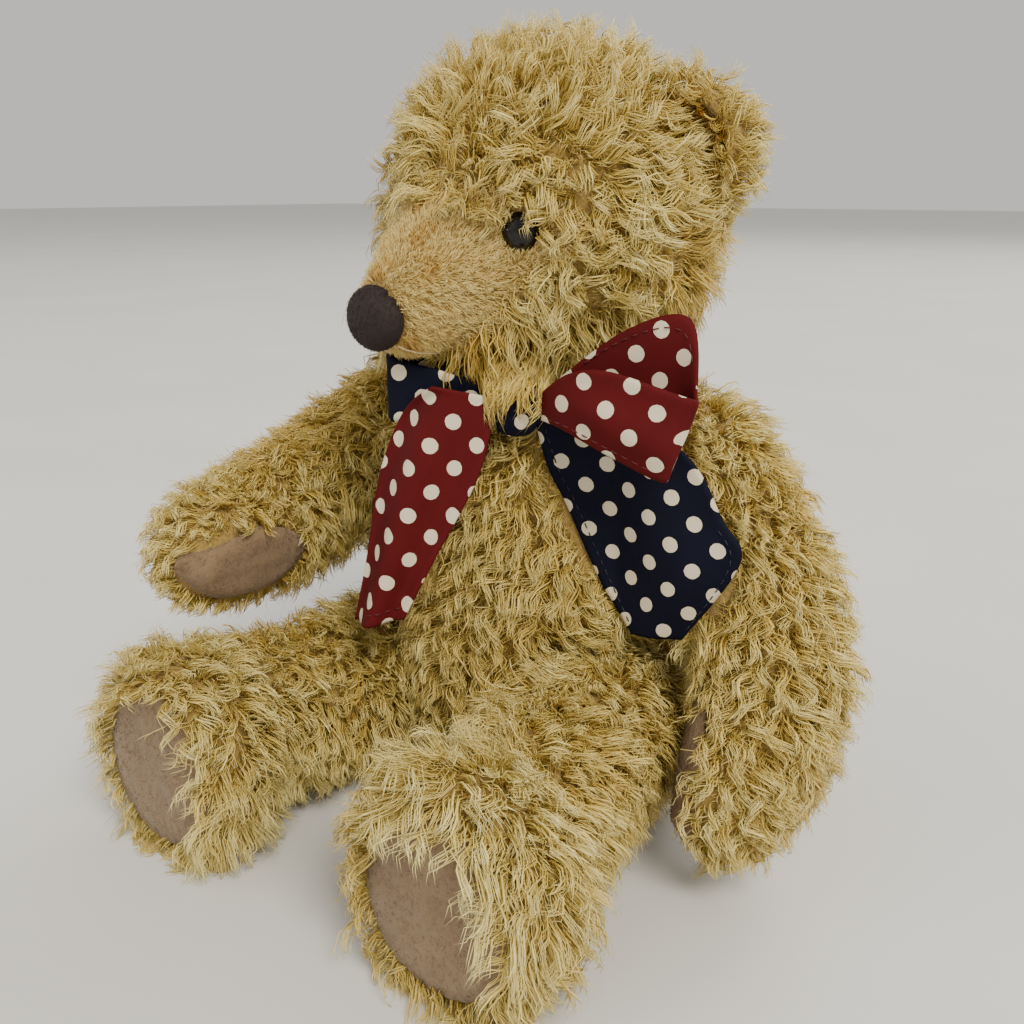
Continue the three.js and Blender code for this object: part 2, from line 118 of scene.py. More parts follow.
# ---- shader nodes ----
class Shader:
    """A node material built up by short calls."""

    def __init__(self, name, **constants):
        self.material = bpy.data.materials.new(name)
        self.material.use_nodes = True
        self.tree = self.material.node_tree
        self.surface = self.tree.nodes["Principled BSDF"]
        for socket, value in constants.items():
            self.surface.inputs[socket.replace("_", " ")].default_value = value

    def node(self, kind, inputs=None, **settings):
        node = self.tree.nodes.new("ShaderNode" + kind)
        for key, value in settings.items():
            setattr(node, key, value)
        for key, value in (inputs or {}).items():
            self.put(value, node.inputs[key])
        return node

    def put(self, value, socket):
        if hasattr(value, "node"):
            self.tree.links.new(value, socket)
        else:
            socket.default_value = value

    def math(self, operation, a, b=0.0, clamp=False):
        node = self.node("Math", operation=operation, use_clamp=clamp)
        self.put(a, node.inputs[0])
        self.put(b, node.inputs[1])
        return node.outputs[0]

    def noise(self, scale, detail=2.0, roughness=0.5, coordinates=None):
        where = coordinates or self.place()
        inputs = {"Vector": where, "Scale": scale, "Detail": detail, "Roughness": roughness}
        return self.node("TexNoise", inputs).outputs["Fac"]

    def place(self):
        return self.node("TexCoord").outputs["Object"]

    def ramp(self, factor, stops):
        node = self.node("ValToRGB", {"Fac": factor})
        points = node.color_ramp.elements
        while len(points) < len(stops):
            points.new(0.5)
        for point, (at, colour) in zip(points, stops):
            point.position = at
            point.color = (*colour, 1)
        return node.outputs["Color"]

    def mix(self, factor, a, b, blend="MIX"):
        node = self.node("Mix", data_type="RGBA", blend_type=blend)
        for value, index in ((factor, 0), (a, 6), (b, 7)):
            if isinstance(value, tuple) and len(value) == 3:
                value = (*value, 1)
            self.put(value, node.inputs[index])
        return node.outputs[2]

    def scaled(self, value, low, high):
        node = self.node("MapRange", {"Value": value, "To Min": low, "To Max": high})
        return node.outputs["Result"]

    def attribute(self, name):
        return self.node("Attribute", attribute_name=name).outputs["Fac"]

    def bump(self, height, strength, distance):
        inputs = {"Height": height, "Strength": strength, "Distance": distance}
        self.put(self.node("Bump", inputs).outputs["Normal"], self.surface.inputs["Normal"])

    def finish(self, colour, roughness=None):
        self.put(colour, self.surface.inputs["Base Color"])
        if roughness is not None:
            self.put(roughness, self.surface.inputs["Roughness"])
        return self.material


def mohair(name, root, middle, tip, gold, shine):
    """Mohair yarn: darker at its foot as painted shade deep in the pile, pale at its tip, each lock a
    little different.
    """
    s = Shader(name, Specular_IOR_Level=0.7)
    colour = s.ramp(s.attribute("along"), [(0.0, root), (0.45, middle), (1.0, tip)])
    # This value is each lock's random tone plus painted shade: more of it tints gold, and above one it
    # browns, as painted shade in creases and hollows and as real mottle on the muzzle.
    tone_and_shade = s.attribute("tone_and_shade")
    colour = s.mix(s.math("MULTIPLY", tone_and_shade, 0.6, clamp=True), colour, gold, "MULTIPLY")
    colour = s.mix(s.math("SUBTRACT", tone_and_shade, 1.0, clamp=True), colour, (0.50, 0.36, 0.18), "MULTIPLY")
    patches = s.math("MULTIPLY", s.math("SUBTRACT", s.noise(26.0, 3.0), 0.35), 2.6, clamp=True)
    colour = s.mix(s.scaled(patches, 0.0, 0.55), colour, gold, "MULTIPLY")
    return s.finish(colour, s.scaled(s.noise(900.0), shine - 0.08, shine + 0.1))


def grained(name, grain, stops, rough, bump=None, **constants):
    """A material whose colour, roughness and bump all follow one noise: grain is its scale, detail
    and roughness, stops its colours, and bump (strength, distance in metres)."""
    s = Shader(name, **constants)
    noise = s.noise(*grain)
    if bump:
        s.bump(noise, *bump)
    return s.finish(s.ramp(noise, stops), s.scaled(noise, *rough))


def felt():
    """Wool felt for the pads: pinkish beige, with pressed fibres and slightly soiled patches."""
    s = Shader("pad_felt", Sheen_Weight=0.2, Sheen_Roughness=0.5)
    stretched = s.node("Mapping", {"Vector": s.place(), "Scale": (1.0, 1.0, 0.35)})
    fibres = s.noise(1500.0, 4.0, 0.7, stretched.outputs["Vector"])
    patches = s.noise(60.0, 3.0)
    colour = s.ramp(patches, [(0.3, (0.15, 0.092, 0.046)), (0.7, (0.215, 0.138, 0.072))])
    colour = s.mix(s.scaled(fibres, 0.0, 0.5), colour, (0.31, 0.215, 0.125))
    s.bump(s.math("ADD", fibres, s.noise(420.0, 3.0)), 0.55, 0.0005)
    return s.finish(colour, s.scaled(fibres, 0.85, 1.0))


DOT = {"pitch": 8.6, "radius": 2.05}
SPOT_CELL = DOT["pitch"] * math.sqrt(2)


def ribbon(name, ground, shade):
    """Printed cotton: cream spots in staggered rows on a plain ground, with its fine weave."""
    s = Shader(name, Specular_IOR_Level=0.14)
    cloth = s.node("UVMap", uv_map="cloth").outputs["UV"]
    spots = None
    for shift in ((0.25, 0.25, 0.0), (0.75, 0.75, 0.0)):
        grid = s.node("VectorMath", {0: cloth, 1: shift}, operation="ADD").outputs[0]
        cell = s.node("VectorMath", {0: grid}, operation="FRACTION").outputs[0]
        centre = s.node("VectorMath", {0: cell, 1: (0.5, 0.5, 0.0)}, operation="SUBTRACT").outputs[0]
        away = s.node("VectorMath", {0: centre}, operation="LENGTH").outputs["Value"]
        spots = away if spots is None else s.math("MINIMUM", spots, away)
    ragged = s.math("ADD", spots, s.scaled(s.noise(1500.0, 2.0), -0.012, 0.012))
    inside = s.math("LESS_THAN", ragged, DOT["radius"] / SPOT_CELL)
    threads = s.noise(5200.0, 1.0)
    base = s.mix(s.scaled(s.noise(90.0, 3.0), 0.0, 1.0), ground, shade)
    cream = s.mix(threads, (0.55, 0.47, 0.34), (0.80, 0.72, 0.56))
    colour = s.mix(inside, s.mix(s.scaled(threads, 0.0, 0.5), base, shade), cream)
    s.bump(threads, 0.35, 0.00012)
    return s.finish(colour, s.scaled(threads, 0.62, 0.85))


def thread(name, dark, light):
    """Sewing thread."""
    return grained(name, (2500.0, 2.0), [(0.3, dark), (0.7, light)], (0.5, 0.8), (0.4, 0.0001))


# Each root colour is darker as painted shade deep in the pile.
MOHAIR = mohair(
    "mohair_long", root=(0.54, 0.40, 0.10), middle=(0.73, 0.585, 0.17), tip=(0.90, 0.81, 0.39),
    gold=(0.82, 0.67, 0.28), shine=0.36,
)
CLIPPED = mohair(
    "mohair_clipped", root=(0.66, 0.49, 0.15), middle=(0.80, 0.65, 0.26), tip=(0.91, 0.80, 0.38),
    gold=(0.84, 0.63, 0.25), shine=0.55,
)
FUZZ = mohair(
    "nose_fuzz", root=(0.008, 0.003, 0.0025), middle=(0.016, 0.006, 0.005),
    tip=(0.030, 0.012, 0.011), gold=(0.8, 0.7, 0.7), shine=0.8,
)
FELT_NAP = mohair(
    "felt_nap", root=(0.19, 0.122, 0.064), middle=(0.24, 0.158, 0.084), tip=(0.34, 0.24, 0.14),
    gold=(0.9, 0.85, 0.8), shine=0.7,
)
# The woven cloth that the mohair stands in, dark brown as painted shade deep in the pile.
SHADE_PAINTED_BACKING = grained(
    "mohair_backing_painted_shade", (1400.0, 2.0), [(0.3, (0.24, 0.15, 0.035)), (0.7, (0.36, 0.25, 0.07))],
    (0.8, 1.0), (0.5, 0.0004), Sheen_Weight=0.3,
)
FELT = felt()
FLOSS = grained(
    "nose_floss_brown", (1800.0, 4.0, 0.7), [(0.25, (0.006, 0.0022, 0.002)), (0.8, (0.022, 0.009, 0.008))],
    (0.6, 0.9), (0.7, 0.0004),
)
# Black glass with faint dust.
EYE_GLASS = grained(
    "eye_black", (700.0, 4.0), [(0.45, (0.002, 0.002, 0.002)), (0.9, (0.02, 0.017, 0.013))],
    (0.1, 0.32), Specular_IOR_Level=0.35,
)
# Pressed fibre board for the joint discs, and dull zinc-plated steel for the washers and pins.
HARDBOARD = grained(
    "joint_hardboard", (700.0, 5.0, 0.7), [(0.3, (0.16, 0.08, 0.035)), (0.7, (0.33, 0.19, 0.09))],
    (0.6, 0.85), (0.3, 0.0002),
)
STEEL = grained(
    "joint_steel", (300.0, 5.0, 0.6), [(0.3, (0.42, 0.41, 0.39)), (0.7, (0.62, 0.61, 0.60))],
    (0.28, 0.5), (0.15, 0.0001), Metallic=1.0,
)
RIBBON = {
    "red": ribbon("ribbon_red", (0.115, 0.006, 0.008), (0.065, 0.003, 0.004)),
    "navy": ribbon("ribbon_navy", (0.0045, 0.0060, 0.022), (0.002, 0.0025, 0.010)),
}
THREAD = {
    "red": thread("thread_red", (0.05, 0.003, 0.004), (0.12, 0.01, 0.012)),
    "navy": thread("thread_navy", (0.003, 0.003, 0.01), (0.02, 0.022, 0.05)),
}
PALE_THREAD = thread("thread_pale", (0.34, 0.26, 0.14), (0.56, 0.45, 0.28))


# ---- meshes ----
def add_object(name, mesh, *materials):
    for material in materials:
        mesh.materials.append(material)
    piece = bpy.data.objects.new(name, mesh)
    bpy.context.scene.collection.objects.link(piece)
    return piece


def face_mesh(name, points, faces):
    """A smooth-shaded mesh from points in millimetres."""
    mesh = bpy.data.meshes.new(name)
    mesh.from_pydata([tuple(p) for p in np.asarray(points) * MM], [], [tuple(f) for f in faces])
    mesh.update()
    mesh.shade_smooth()
    return mesh


def closed_piece(name, points, faces, material):
    """A piece from closed shells, every one with its faces turned outwards."""
    mesh = face_mesh(name, points, faces)
    bm = bmesh.new()
    bm.from_mesh(mesh)
    bmesh.ops.recalc_face_normals(bm, faces=bm.faces)
    bm.to_mesh(mesh)
    bm.free()
    return add_object(name, mesh, material)


def grid_faces(rows, columns, wrap=False):
    faces = []
    for i in range(rows - 1):
        for j in range(columns if wrap else columns - 1):
            k = (j + 1) % columns
            faces.append((i * columns + j, i * columns + k, (i + 1) * columns + k, (i + 1) * columns + j))
    return faces


def capped_faces(rows, columns):
    """Faces of a round grid closed by two poles, whose points follow it, the first row's first."""
    faces = grid_faces(rows, columns, wrap=True)
    pole = rows * columns
    top = pole - columns
    faces += [((j + 1) % columns, j, pole) for j in range(columns)]
    faces += [(top + j, top + (j + 1) % columns, pole + 1) for j in range(columns)]
    return faces


def read(items, key, width, kind=float):
    """A mesh layer's values, one row for each item."""
    values = np.empty(len(items) * width, kind)
    items.foreach_get(key, values)
    return values.reshape(-1, width)


def lay_print(piece, cloth):
    """Gives a piece its points' flat (x, y) places on the cloth, for the print."""
    mesh = piece.data
    layer = mesh.uv_layers.new(name="cloth")
    corners = read(mesh.loops, "vertex_index", 1, np.int32).ravel()
    layer.data.foreach_set("uv", (np.asarray(cloth) / SPOT_CELL)[corners].ravel())


def settle(piece, body, slot, *nodes):
    """Puts a piece on its body, in place of CAD nodes if any are named. slot is not used."""
    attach(piece, body)
    if nodes:
        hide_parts(*nodes)


# ---- stuffed forms ----
def stuffed(name, body, nodes, source, fills=(), voxel=2.2, smooth=14, swell=STUFFING_INSET + 0.5):
    """A smooth stuffed form: a CAD solid, remeshed, smoothed and swollen. fills are (frame, radius,
    depth) cylinders that close the joint pockets."""
    bm = bmesh.new()
    bm.from_mesh(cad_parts[source].data)
    for matrix, radius, depth in fills:
        scaled = Matrix(matrix.tolist())
        scaled.translation *= MM
        lift = Matrix.Translation((0, 0, (STUFFING_INSET + depth / 2) * MM))
        bmesh.ops.create_cone(
            bm, cap_ends=True, segments=32, radius1=radius * MM, radius2=radius * MM,
            depth=depth * MM, matrix=scaled @ lift,
        )
    mesh = bpy.data.meshes.new(name + "_rough")
    bm.to_mesh(mesh)
    bm.free()
    rough = add_object(name + "_rough", mesh)
    remesh = rough.modifiers.new("remesh", "REMESH")
    remesh.mode = "VOXEL"
    remesh.voxel_size = voxel * MM
    soften = rough.modifiers.new("soften", "SMOOTH")
    soften.factor = 0.5
    soften.iterations = smooth
    puff = rough.modifiers.new("puff", "DISPLACE")
    puff.strength = swell * MM
    puff.mid_level = 0
    evaluated = rough.evaluated_get(bpy.context.evaluated_depsgraph_get())
    shape = bpy.data.meshes.new_from_object(evaluated)
    bpy.data.objects.remove(rough)
    shape.name = name
    for vertex in shape.vertices:
        vertex.co.z = max(vertex.co.z, 0.3 * MM)
    shape.materials.clear()
    shape.shade_smooth()
    # The form wears the backing, dark as painted shade deep in the pile.
    piece = add_object(name, shape, SHADE_PAINTED_BACKING)
    settle(piece, body, "mohair", *nodes)
    return piece


def joint_frame(position, axis):
    """A frame whose +Z points along an axis."""
    turn = Vector((0, 0, 1)).rotation_difference(Vector(axis)).to_matrix().to_4x4()
    return np.array(Matrix.Translation(position) @ turn)


# ---- fur ----
def surface_points(piece, count, rng):
    """Random points spread evenly over a piece, with their normals, in millimetres."""
    mesh = piece.data
    mesh.calc_loop_triangles()
    corners = read(mesh.loop_triangles, "vertices", 3, np.int32)
    verts = read(mesh.vertices, "co", 3) / MM
    normals = read(mesh.vertices, "normal", 3)
    a, b, c = (verts[corners[:, k]] for k in range(3))
    areas = np.linalg.norm(np.cross(b - a, c - a), axis=1)
    pick = np.searchsorted(np.cumsum(areas) / areas.sum(), rng.uniform(size=count))
    pick = np.minimum(pick, len(areas) - 1)
    u, v = rng.uniform(size=(2, count, 1))
    flip = (u + v) > 1
    u, v = np.where(flip, 1 - u, u), np.where(flip, 1 - v, v)
    weights = [1 - u - v, u, v]
    points = sum(w * verts[corners[pick, k]] for k, w in enumerate(weights))
    ways = unit(sum(w * normals[corners[pick, k]] for k, w in enumerate(weights)))
    return points, ways


def spread_out(points, spacing):
    """Which points to keep so that none is nearer to another than the spacing."""
    tree = kdtree.KDTree(len(points))
    for i, p in enumerate(points):
        tree.insert(p, i)
    tree.balance()
    keep = np.ones(len(points), bool)
    for i, p in enumerate(points):
        if keep[i]:
            for _, j, _ in tree.find_range(p, spacing):
                if j > i:
                    keep[j] = False
    return keep


def strands(name, centres, radii, tone_and_shade, material):
    """Thin closed tubes along centres (strand, point, xyz), each ending in a point."""
    count, points, _ = centres.shape
    centres[..., 2] = np.maximum(centres[..., 2], radii + 0.2)
    along = unit(np.gradient(centres, axis=1))
    side = unit(np.cross(along, unit(centres[:, -1:] - centres[:, :1] + 1e-3)[:, :, [1, 2, 0]]))
    other = np.cross(along, side)
    rings = []
    for k in range(3):
        angle = 2 * np.pi * k / 3
        offset = math.cos(angle) * side + math.sin(angle) * other
        rings.append(centres[:, :-1] + offset[:, :-1] * radii[:, :-1, None])
    tube = np.stack(rings, axis=2).reshape(count, -1, 3)
    verts = np.concatenate([tube, centres[:, -1:]], axis=1)
    per = verts.shape[1]
    quads, triangles = [], [(2, 1, 0)]
    for s in range(points - 2):
        for k in range(3):
            n = (k + 1) % 3
            quads.append((s * 3 + k, s * 3 + n, s * 3 + 3 + n, s * 3 + 3 + k))
    last = (points - 2) * 3
    for k in range(3):
        triangles.append((last + k, last + (k + 1) % 3, per - 1))
    base = (np.arange(count) * per)[:, None]
    quad_loops = (base[:, :, None] + np.array(quads)[None]).reshape(-1)
    tri_loops = (base[:, :, None] + np.array(triangles)[None]).reshape(-1)
    loops = np.concatenate([quad_loops, tri_loops]).astype(np.int32)
    starts = np.concatenate([
        np.arange(0, len(quad_loops), 4),
        len(quad_loops) + np.arange(0, len(tri_loops), 3),
    ]).astype(np.int32)
    mesh = bpy.data.meshes.new(name)
    mesh.vertices.add(count * per)
    mesh.vertices.foreach_set("co", (verts * MM).ravel())
    mesh.loops.add(len(loops))
    mesh.loops.foreach_set("vertex_index", loops)
    mesh.polygons.add(len(starts))
    mesh.polygons.foreach_set("loop_start", starts)
    mesh.update(calc_edges=True)
    mesh.shade_smooth()
    ratio = np.linspace(0, 1, points)
    level = np.concatenate([np.repeat(ratio[:-1], 3), ratio[-1:]])
    for key, values in (("along", np.tile(level, count)), ("tone_and_shade", np.repeat(tone_and_shade, per))):
        mesh.attributes.new(key, "FLOAT", "POINT").data.foreach_set("value", values)
    return add_object(name, mesh, material)


def lock_roots(piece, field, spacing, tries, rng):
    """Evenly spread roots for locks, with how the pile lies at each."""
    roots, normals = surface_points(piece, tries, rng)
    look = field(roots, normals)
    look.update(root=roots, normal=normals)
    wanted = look.pop("keep")
    look = {key: value[wanted] for key, value in look.items()}
    keep = spread_out(look["root"], spacing)
    look = {key: value[keep] for key, value in look.items()}
    comb, normal = look["comb"], look["normal"]
    look["comb"] = unit(comb - normal * np.sum(comb * normal, axis=1, keepdims=True))
    return look


def strand_paths(look, style, rng):
    """The middle lines of every strand, lock by lock. A lock's strands leave the cloth side by
    side, lie over along the comb, gather towards the tip and wave together."""
    locks, each = len(look["root"]), style["per_lock"]
    total = locks * each

    def spread(values):
        return np.repeat(values, each, axis=0)

    s = np.linspace(0, 1, style["segments"] + 1)[None, :]
    loose = rng.uniform(size=total) < style["stray"]
    length = spread(look["length"] * rng.uniform(0.8, 1.15, locks)) * rng.uniform(0.8, 1.08, total)
    start = spread(look["lift0"] + rng.normal(0, 9, locks)) + rng.normal(0, 5, total)
    end = spread(look["lift1"] + rng.normal(0, 12, locks)) + rng.normal(0, 6, total)
    end = np.where(loose, end + 22, end)
    yaw = spread(rng.normal(0, 15, locks)) + rng.normal(0, 5, total)
    yaw = np.where(loose, yaw + rng.normal(0, 35, total), yaw)
    bend = spread(rng.normal(0, 38, locks))
    rise = np.radians(start[:, None] + (end - start)[:, None] * s)[..., None]
    heading = np.radians(yaw[:, None] + bend[:, None] * s)[..., None]

    normal, comb = (spread(look[key])[:, None, :] for key in ("normal", "comb"))
    side = np.cross(normal, comb)
    way = normal * np.sin(rise)
    way = way + (comb * np.cos(heading) + side * np.sin(heading)) * np.cos(rise)
    way[..., 2] -= spread(look["hang"])[:, None] * s
    way = unit(way) * (length / style["segments"])[:, None, None]
    path = np.concatenate([np.zeros((total, 1, 3)), np.cumsum(way[:, :-1], axis=1)], axis=1)

    ring = style["lock"] * np.sqrt(rng.uniform(size=total)) * rng.uniform(0.8, 1.2, total)
    spin = rng.uniform(0, 2 * np.pi, total)
    narrow = 1 - np.where(loose, 0.1, style["gather"])[:, None] * smoothstep(0, 1, s)
    ahead, across = (ring * turn(spin) for turn in (np.sin, np.cos))
    path += (comb * ahead[:, None, None] + side * across[:, None, None]) * narrow[..., None]

    wave = spread(look["curl"] * rng.uniform(0.6, 1.3, locks)) * rng.uniform(0.8, 1.2, total)
    turns = spread(rng.uniform(*style["turns"], locks))
    phase = spread(rng.uniform(0, 2 * np.pi, locks)) + rng.normal(0, 0.35, total)
    angle = phase[:, None] + 2 * np.pi * turns[:, None] * s
    size = smoothstep(0, 0.4, s) * wave[:, None]
    path += side * (np.sin(angle) * size)[..., None] + normal * (0.75 * np.cos(angle) * size)[..., None]
    return spread(look["root"])[:, None, :] + path - normal * 0.4


# The middle surfaces of the bow's cloth, in the bow's own frame: the pile lies behind them.
HANGING = []
EVERYWHERE = -100
TUCK_CELL = 1.5
TUCK_LOW = np.array([-60.0, -75.0])
TUCK_CELLS = (100, 80)


def tuck_map():
    """How far back the bow's cloth reaches, over a grid of cells in the bow's own plane."""
    back = np.full(TUCK_CELLS, -np.inf)
    steps = np.arange(-1, 2)
    for points in HANGING:
        cell = ((points[:, [0, 2]] - TUCK_LOW) / TUCK_CELL).astype(int)
        for i, j in ((i, j) for i in steps for j in steps):
            np.maximum.at(back, (cell[:, 0] + i, cell[:, 1] + j), points[:, 1])
    return back


def tucked(centres, right_of):
    """Strands that would stand through the bow's cloth, pressed back behind it, where x in the
    bow's frame is more than right_of."""
    back = tuck_map()
    p = local(BOW_FRAME, centres.reshape(-1, 3))
    cell = ((p[:, [0, 2]] - TUCK_LOW) / TUCK_CELL).astype(int)
    inside = np.all((cell >= 0) & (cell < TUCK_CELLS), axis=1) & (p[:, 0] > right_of)
    limit = np.full(len(p), -np.inf)
    limit[inside] = back[cell[inside, 0], cell[inside, 1]] + 0.9
    through = (p[:, 1] < limit) & (p[:, 1] > limit - 18)
    p[through, 1] = limit[through]
    return placed(BOW_FRAME, p).reshape(centres.shape)


def over_knot(centres):
    """Strands that hang where the bow's knot is, brought in front of it."""
    p = local(BOW_FRAME, centres.reshape(-1, 3))
    front = -6.0 * np.sqrt(np.clip(1 - (p[:, 0] / 10) ** 2, 0, 1)) - 1.2 - 0.8 * np.sin(5 * p[:, 0])
    near = smoothstep(16, 5, p[:, 2]) * smoothstep(10, 7, np.abs(p[:, 0])) * (p[:, 2] > -10)
    p[:, 1] += near * (np.minimum(p[:, 1], front) - p[:, 1])
    return placed(BOW_FRAME, p).reshape(centres.shape)


PIECE_TRIANGLES = 196000
LONG = {
    "per_lock": 13, "segments": 6, "strand": 0.145, "lock": 2.0, "gather": 0.66, "stray": 0.1,
    "turns": (0.9, 1.6), "bundles": 0.12,
}
CLIP = {
    "per_lock": 4, "segments": 3, "strand": 0.1, "lock": 0.8, "gather": 0.25, "stray": 0.25,
    "turns": (0.3, 0.7), "bundles": 0.0,
}
UNDER = {**CLIP, "per_lock": 5, "strand": 0.16, "lock": 1.3, "gather": 0.0, "stray": 0.3}
STUBBLE = {**CLIP, "per_lock": 2, "strand": 0.07, "lock": 0.3}
NAP = {**CLIP, "per_lock": 3, "strand": 0.05, "lock": 0.7, "gather": 0.0}


def grow(name, piece, body, field, spacing, seed, style=LONG, material=MOHAIR, slot="mohair",
         tries=30000, tuck=None, over=False):
    """Grows pile on a piece, as one fur piece or several. field(points, normals) gives each lock's
    length, comb, hang, curl, and its lift at the root and the tip in degrees."""
    rng = np.random.default_rng(seed)
    look = lock_roots(piece, field, spacing, tries, rng)
    centres = strand_paths(look, style, rng)
    if tuck is not None:
        centres = tucked(centres, tuck)
    if over:
        centres = over_knot(centres)
    total = len(centres)
    profile = np.interp(np.linspace(0, 1, centres.shape[1]), [0, 0.3, 0.75, 1], [0.9, 1.0, 0.8, 0.25])
    thick = np.where(rng.uniform(size=total) < style["bundles"], 2.0, 0.9) * rng.uniform(0.8, 1.2, total)
    radii = style["strand"] * profile[None, :] * thick[:, None]
    # Each lock's random tone, with the field's painted shade and tint added.
    tone_and_shade = np.clip(rng.normal(0.45, 0.25, len(look["root"])), 0, 1) + look["dye"]
    tone_and_shade = np.maximum(np.repeat(tone_and_shade, style["per_lock"]) + rng.normal(0, 0.07, total), 0)
    limit = PIECE_TRIANGLES // (6 * (style["segments"] - 1) + 4)
    parts = math.ceil(total / limit)
    for k, chosen in enumerate(np.array_split(np.arange(total), parts)):
        fur = strands(f"{name}_{k + 1}", centres[chosen], radii[chosen], tone_and_shade[chosen], material)
        settle(fur, body, slot)


def undercoat(name, piece, body, field, seed, tuck=None):
    """The short dense pile between the locks, which hides the cloth."""

    def under(points, normals):
        look = field(points, normals)
        look["comb"] = look["comb"] + 1.8 * waves(points, 5, 91)
        look["lift0"], look["lift1"] = look["lift0"] + 8, look["lift1"] + 18
        look["length"] = look["length"] * 0.45
        look["curl"] = look["curl"] * 0.35
        # The undercoat is darkened: painted shade beneath the locks.
        look["dye"] = look["dye"] + 0.3
        return look

    grow(name, piece, body, under, 2.2, seed, UNDER, tries=40000, tuck=tuck)


# ---- how the pile lies ----
def near_joint(points, normals, matrix, radius, depth=5.0):
    """Points on the flat that faces another part across a joint."""
    p = local(matrix, points)
    facing = np.abs(normals @ matrix[:3, 2]) > 0.75
    return facing & (np.hypot(p[:, 0], p[:, 1]) < radius) & (np.abs(p[:, 2]) < depth)


def joint_frames():
    """Each joint's frame, with +Z along its pin, away from the body."""
    frames = {"neck": joint_frame(NECK["pivot"], HEAD[:3, 2])}
    for side, sign in SIDES.items():
        for joint, at in (("shoulder", SHOULDER), ("hip", HIP)):
            place = (sign * at["x"], at["y"], at["z"])
            frames[f"{side}_{joint}"] = joint_frame(place, (sign, 0, 0))
    return frames


JOINT = joint_frames()


def lie(points, comb, length, lift, curl=1.3, hang=0.25, dye=0.0):
    """How pile lies at points: lengths in millimetres, lift (root, tip) in degrees. The last value darkens
    the pile above zero and pales it below: painted shade in creases and hollows, real muzzle mottle."""
    count = len(points)
    return {
        "comb": comb + np.zeros((count, 3)),
        "length": length + np.zeros(count),
        "lift0": lift[0] + np.zeros(count),
        "lift1": lift[1] + np.zeros(count),
        "curl": curl + np.zeros(count),
        "hang": hang + np.zeros(count),
        "dye": dye + np.zeros(count),
    }


def body_field(points, normals):
    # Near the shoulders and hips the pile is darkened: painted shade in the creases.
    crease = np.zeros(len(points))
    for side in SIDES:
        for joint, radius in (("_shoulder", 24), ("_hip", 27)):
            away = np.linalg.norm(points - JOINT[side + joint][:3, 3], axis=1)
            crease = np.maximum(crease, smoothstep(radius, radius - 10, away))
    comb = np.array([0, 0, -1.0]) + 0.6 * waves(points, 34, 11)
    look = lie(points, comb, PILE * 0.9, (60, 12), dye=0.15 + 0.8 * crease)
    look["keep"] = (points[:, 2] > 5) & ~near_joint(points, normals, JOINT["neck"], 22)
    for side in SIDES:
        look["keep"] &= ~near_joint(points, normals, JOINT[side + "_shoulder"], 13)
        look["keep"] &= ~near_joint(points, normals, JOINT[side + "_hip"], 18)
    return look


def clipped_share(p):
    """1 on the clipped muzzle, 0 on the rest of the head, in the head's frame."""
    ahead = -(p[:, 1] + 31 + 0.36 * (40 - p[:, 2]))
    return smoothstep(-3.5, 3.5, ahead) * smoothstep(45, 38.5, p[:, 2])


def eye_distance(p):
    eyes = (np.array([sign, 1, 1]) * EYE["centre"] for sign in SIDES.values())
    return np.minimum(*(np.linalg.norm(p - eye, axis=1) for eye in eyes))


def nose_distance(p):
    return np.linalg.norm((p - np.array(NOSE["centre"])) / np.array(NOSE["radii"]), axis=1)


def chin_share(p):
    """1 where the long tufts hang from the lower cheeks, in the head's frame."""
    tufts = (np.array([sign * 18, -36, 9]) for sign in SIDES.values())
    near = np.minimum(*(np.linalg.norm(p - tuft, axis=1) for tuft in tufts))
    return smoothstep(19, 9, near)


def head_field(points, normals):
    p = local(HEAD, points)
    cheek = smoothstep(46, 22, p[:, 2])
    top = smoothstep(48, 74, p[:, 2])
    brow = smoothstep(14, 5, np.abs(p[:, 2] - 52)) * smoothstep(-18, -32, p[:, 1])
    chin = chin_share(p)
    comb = unit(p - np.array([0, -50, 46])) + 0.9 * waves(p, 24, 21)
    comb[:, 2] -= 0.7 * cheek + 1.6 * chin + 0.5 * brow
    comb[:, 1] -= 1.2 * brow + 1.1 * chin
    near_eye = smoothstep(17, 7, eye_distance(p)) * smoothstep(38, 44, p[:, 2])
    near_knot = smoothstep(15, 8, np.abs(local(BOW_FRAME, points)[:, 0])) * smoothstep(28, 16, p[:, 2])
    length = PILE * (1 + 0.12 * cheek + (0.8 - 0.4 * near_knot) * chin - 0.08 * top - 0.35 * near_eye)
    length = length * (1 - 0.5 * clipped_share(p))
    look = lie(p, comb @ HEAD[:3, :3].T, length, (60 + 10 * top, 14 + 22 * top), 1.6, dye=-0.3 * cheek)
    look["hang"] += 1.2 * chin + 0.5 * brow
    # Under the chin, beside the knot and on the head's sides the pile is darkened: painted shade.
    side = smoothstep(34, 46, np.abs(p[:, 0]) + p[:, 1] * 0.4)
    look["dye"] += 0.3 * chin + 0.45 * near_knot + 0.35 * side
    look["keep"] = ~near_joint(points, normals, JOINT["neck"], 24)
    look["keep"] &= (clipped_share(p) < 0.5) & (eye_distance(p) > 5.4)
    return look


def muzzle_field(points, normals):
    p = local(HEAD, points)
    share = clipped_share(p)
    comb = unit(p - np.array([0, -62, 18])) + 0.55 * waves(p, 14, 31) + 0.4 * waves(p, 5, 32)
    mottle = smoothstep(0.35, 1.1, waves(p, 9, 33)[:, 0]) * smoothstep(-30, -36, p[:, 1])
    length = 3.4 + 4.0 * (1 - share)
    look = lie(p, comb @ HEAD[:3, :3].T, length, (48, 14), 0.35, 0.1, dye=1.0 * mottle - 0.25)
    look["keep"] = (share > 0.05) & (eye_distance(p) > 4.9) & (nose_distance(p) > 1.02)
    return look


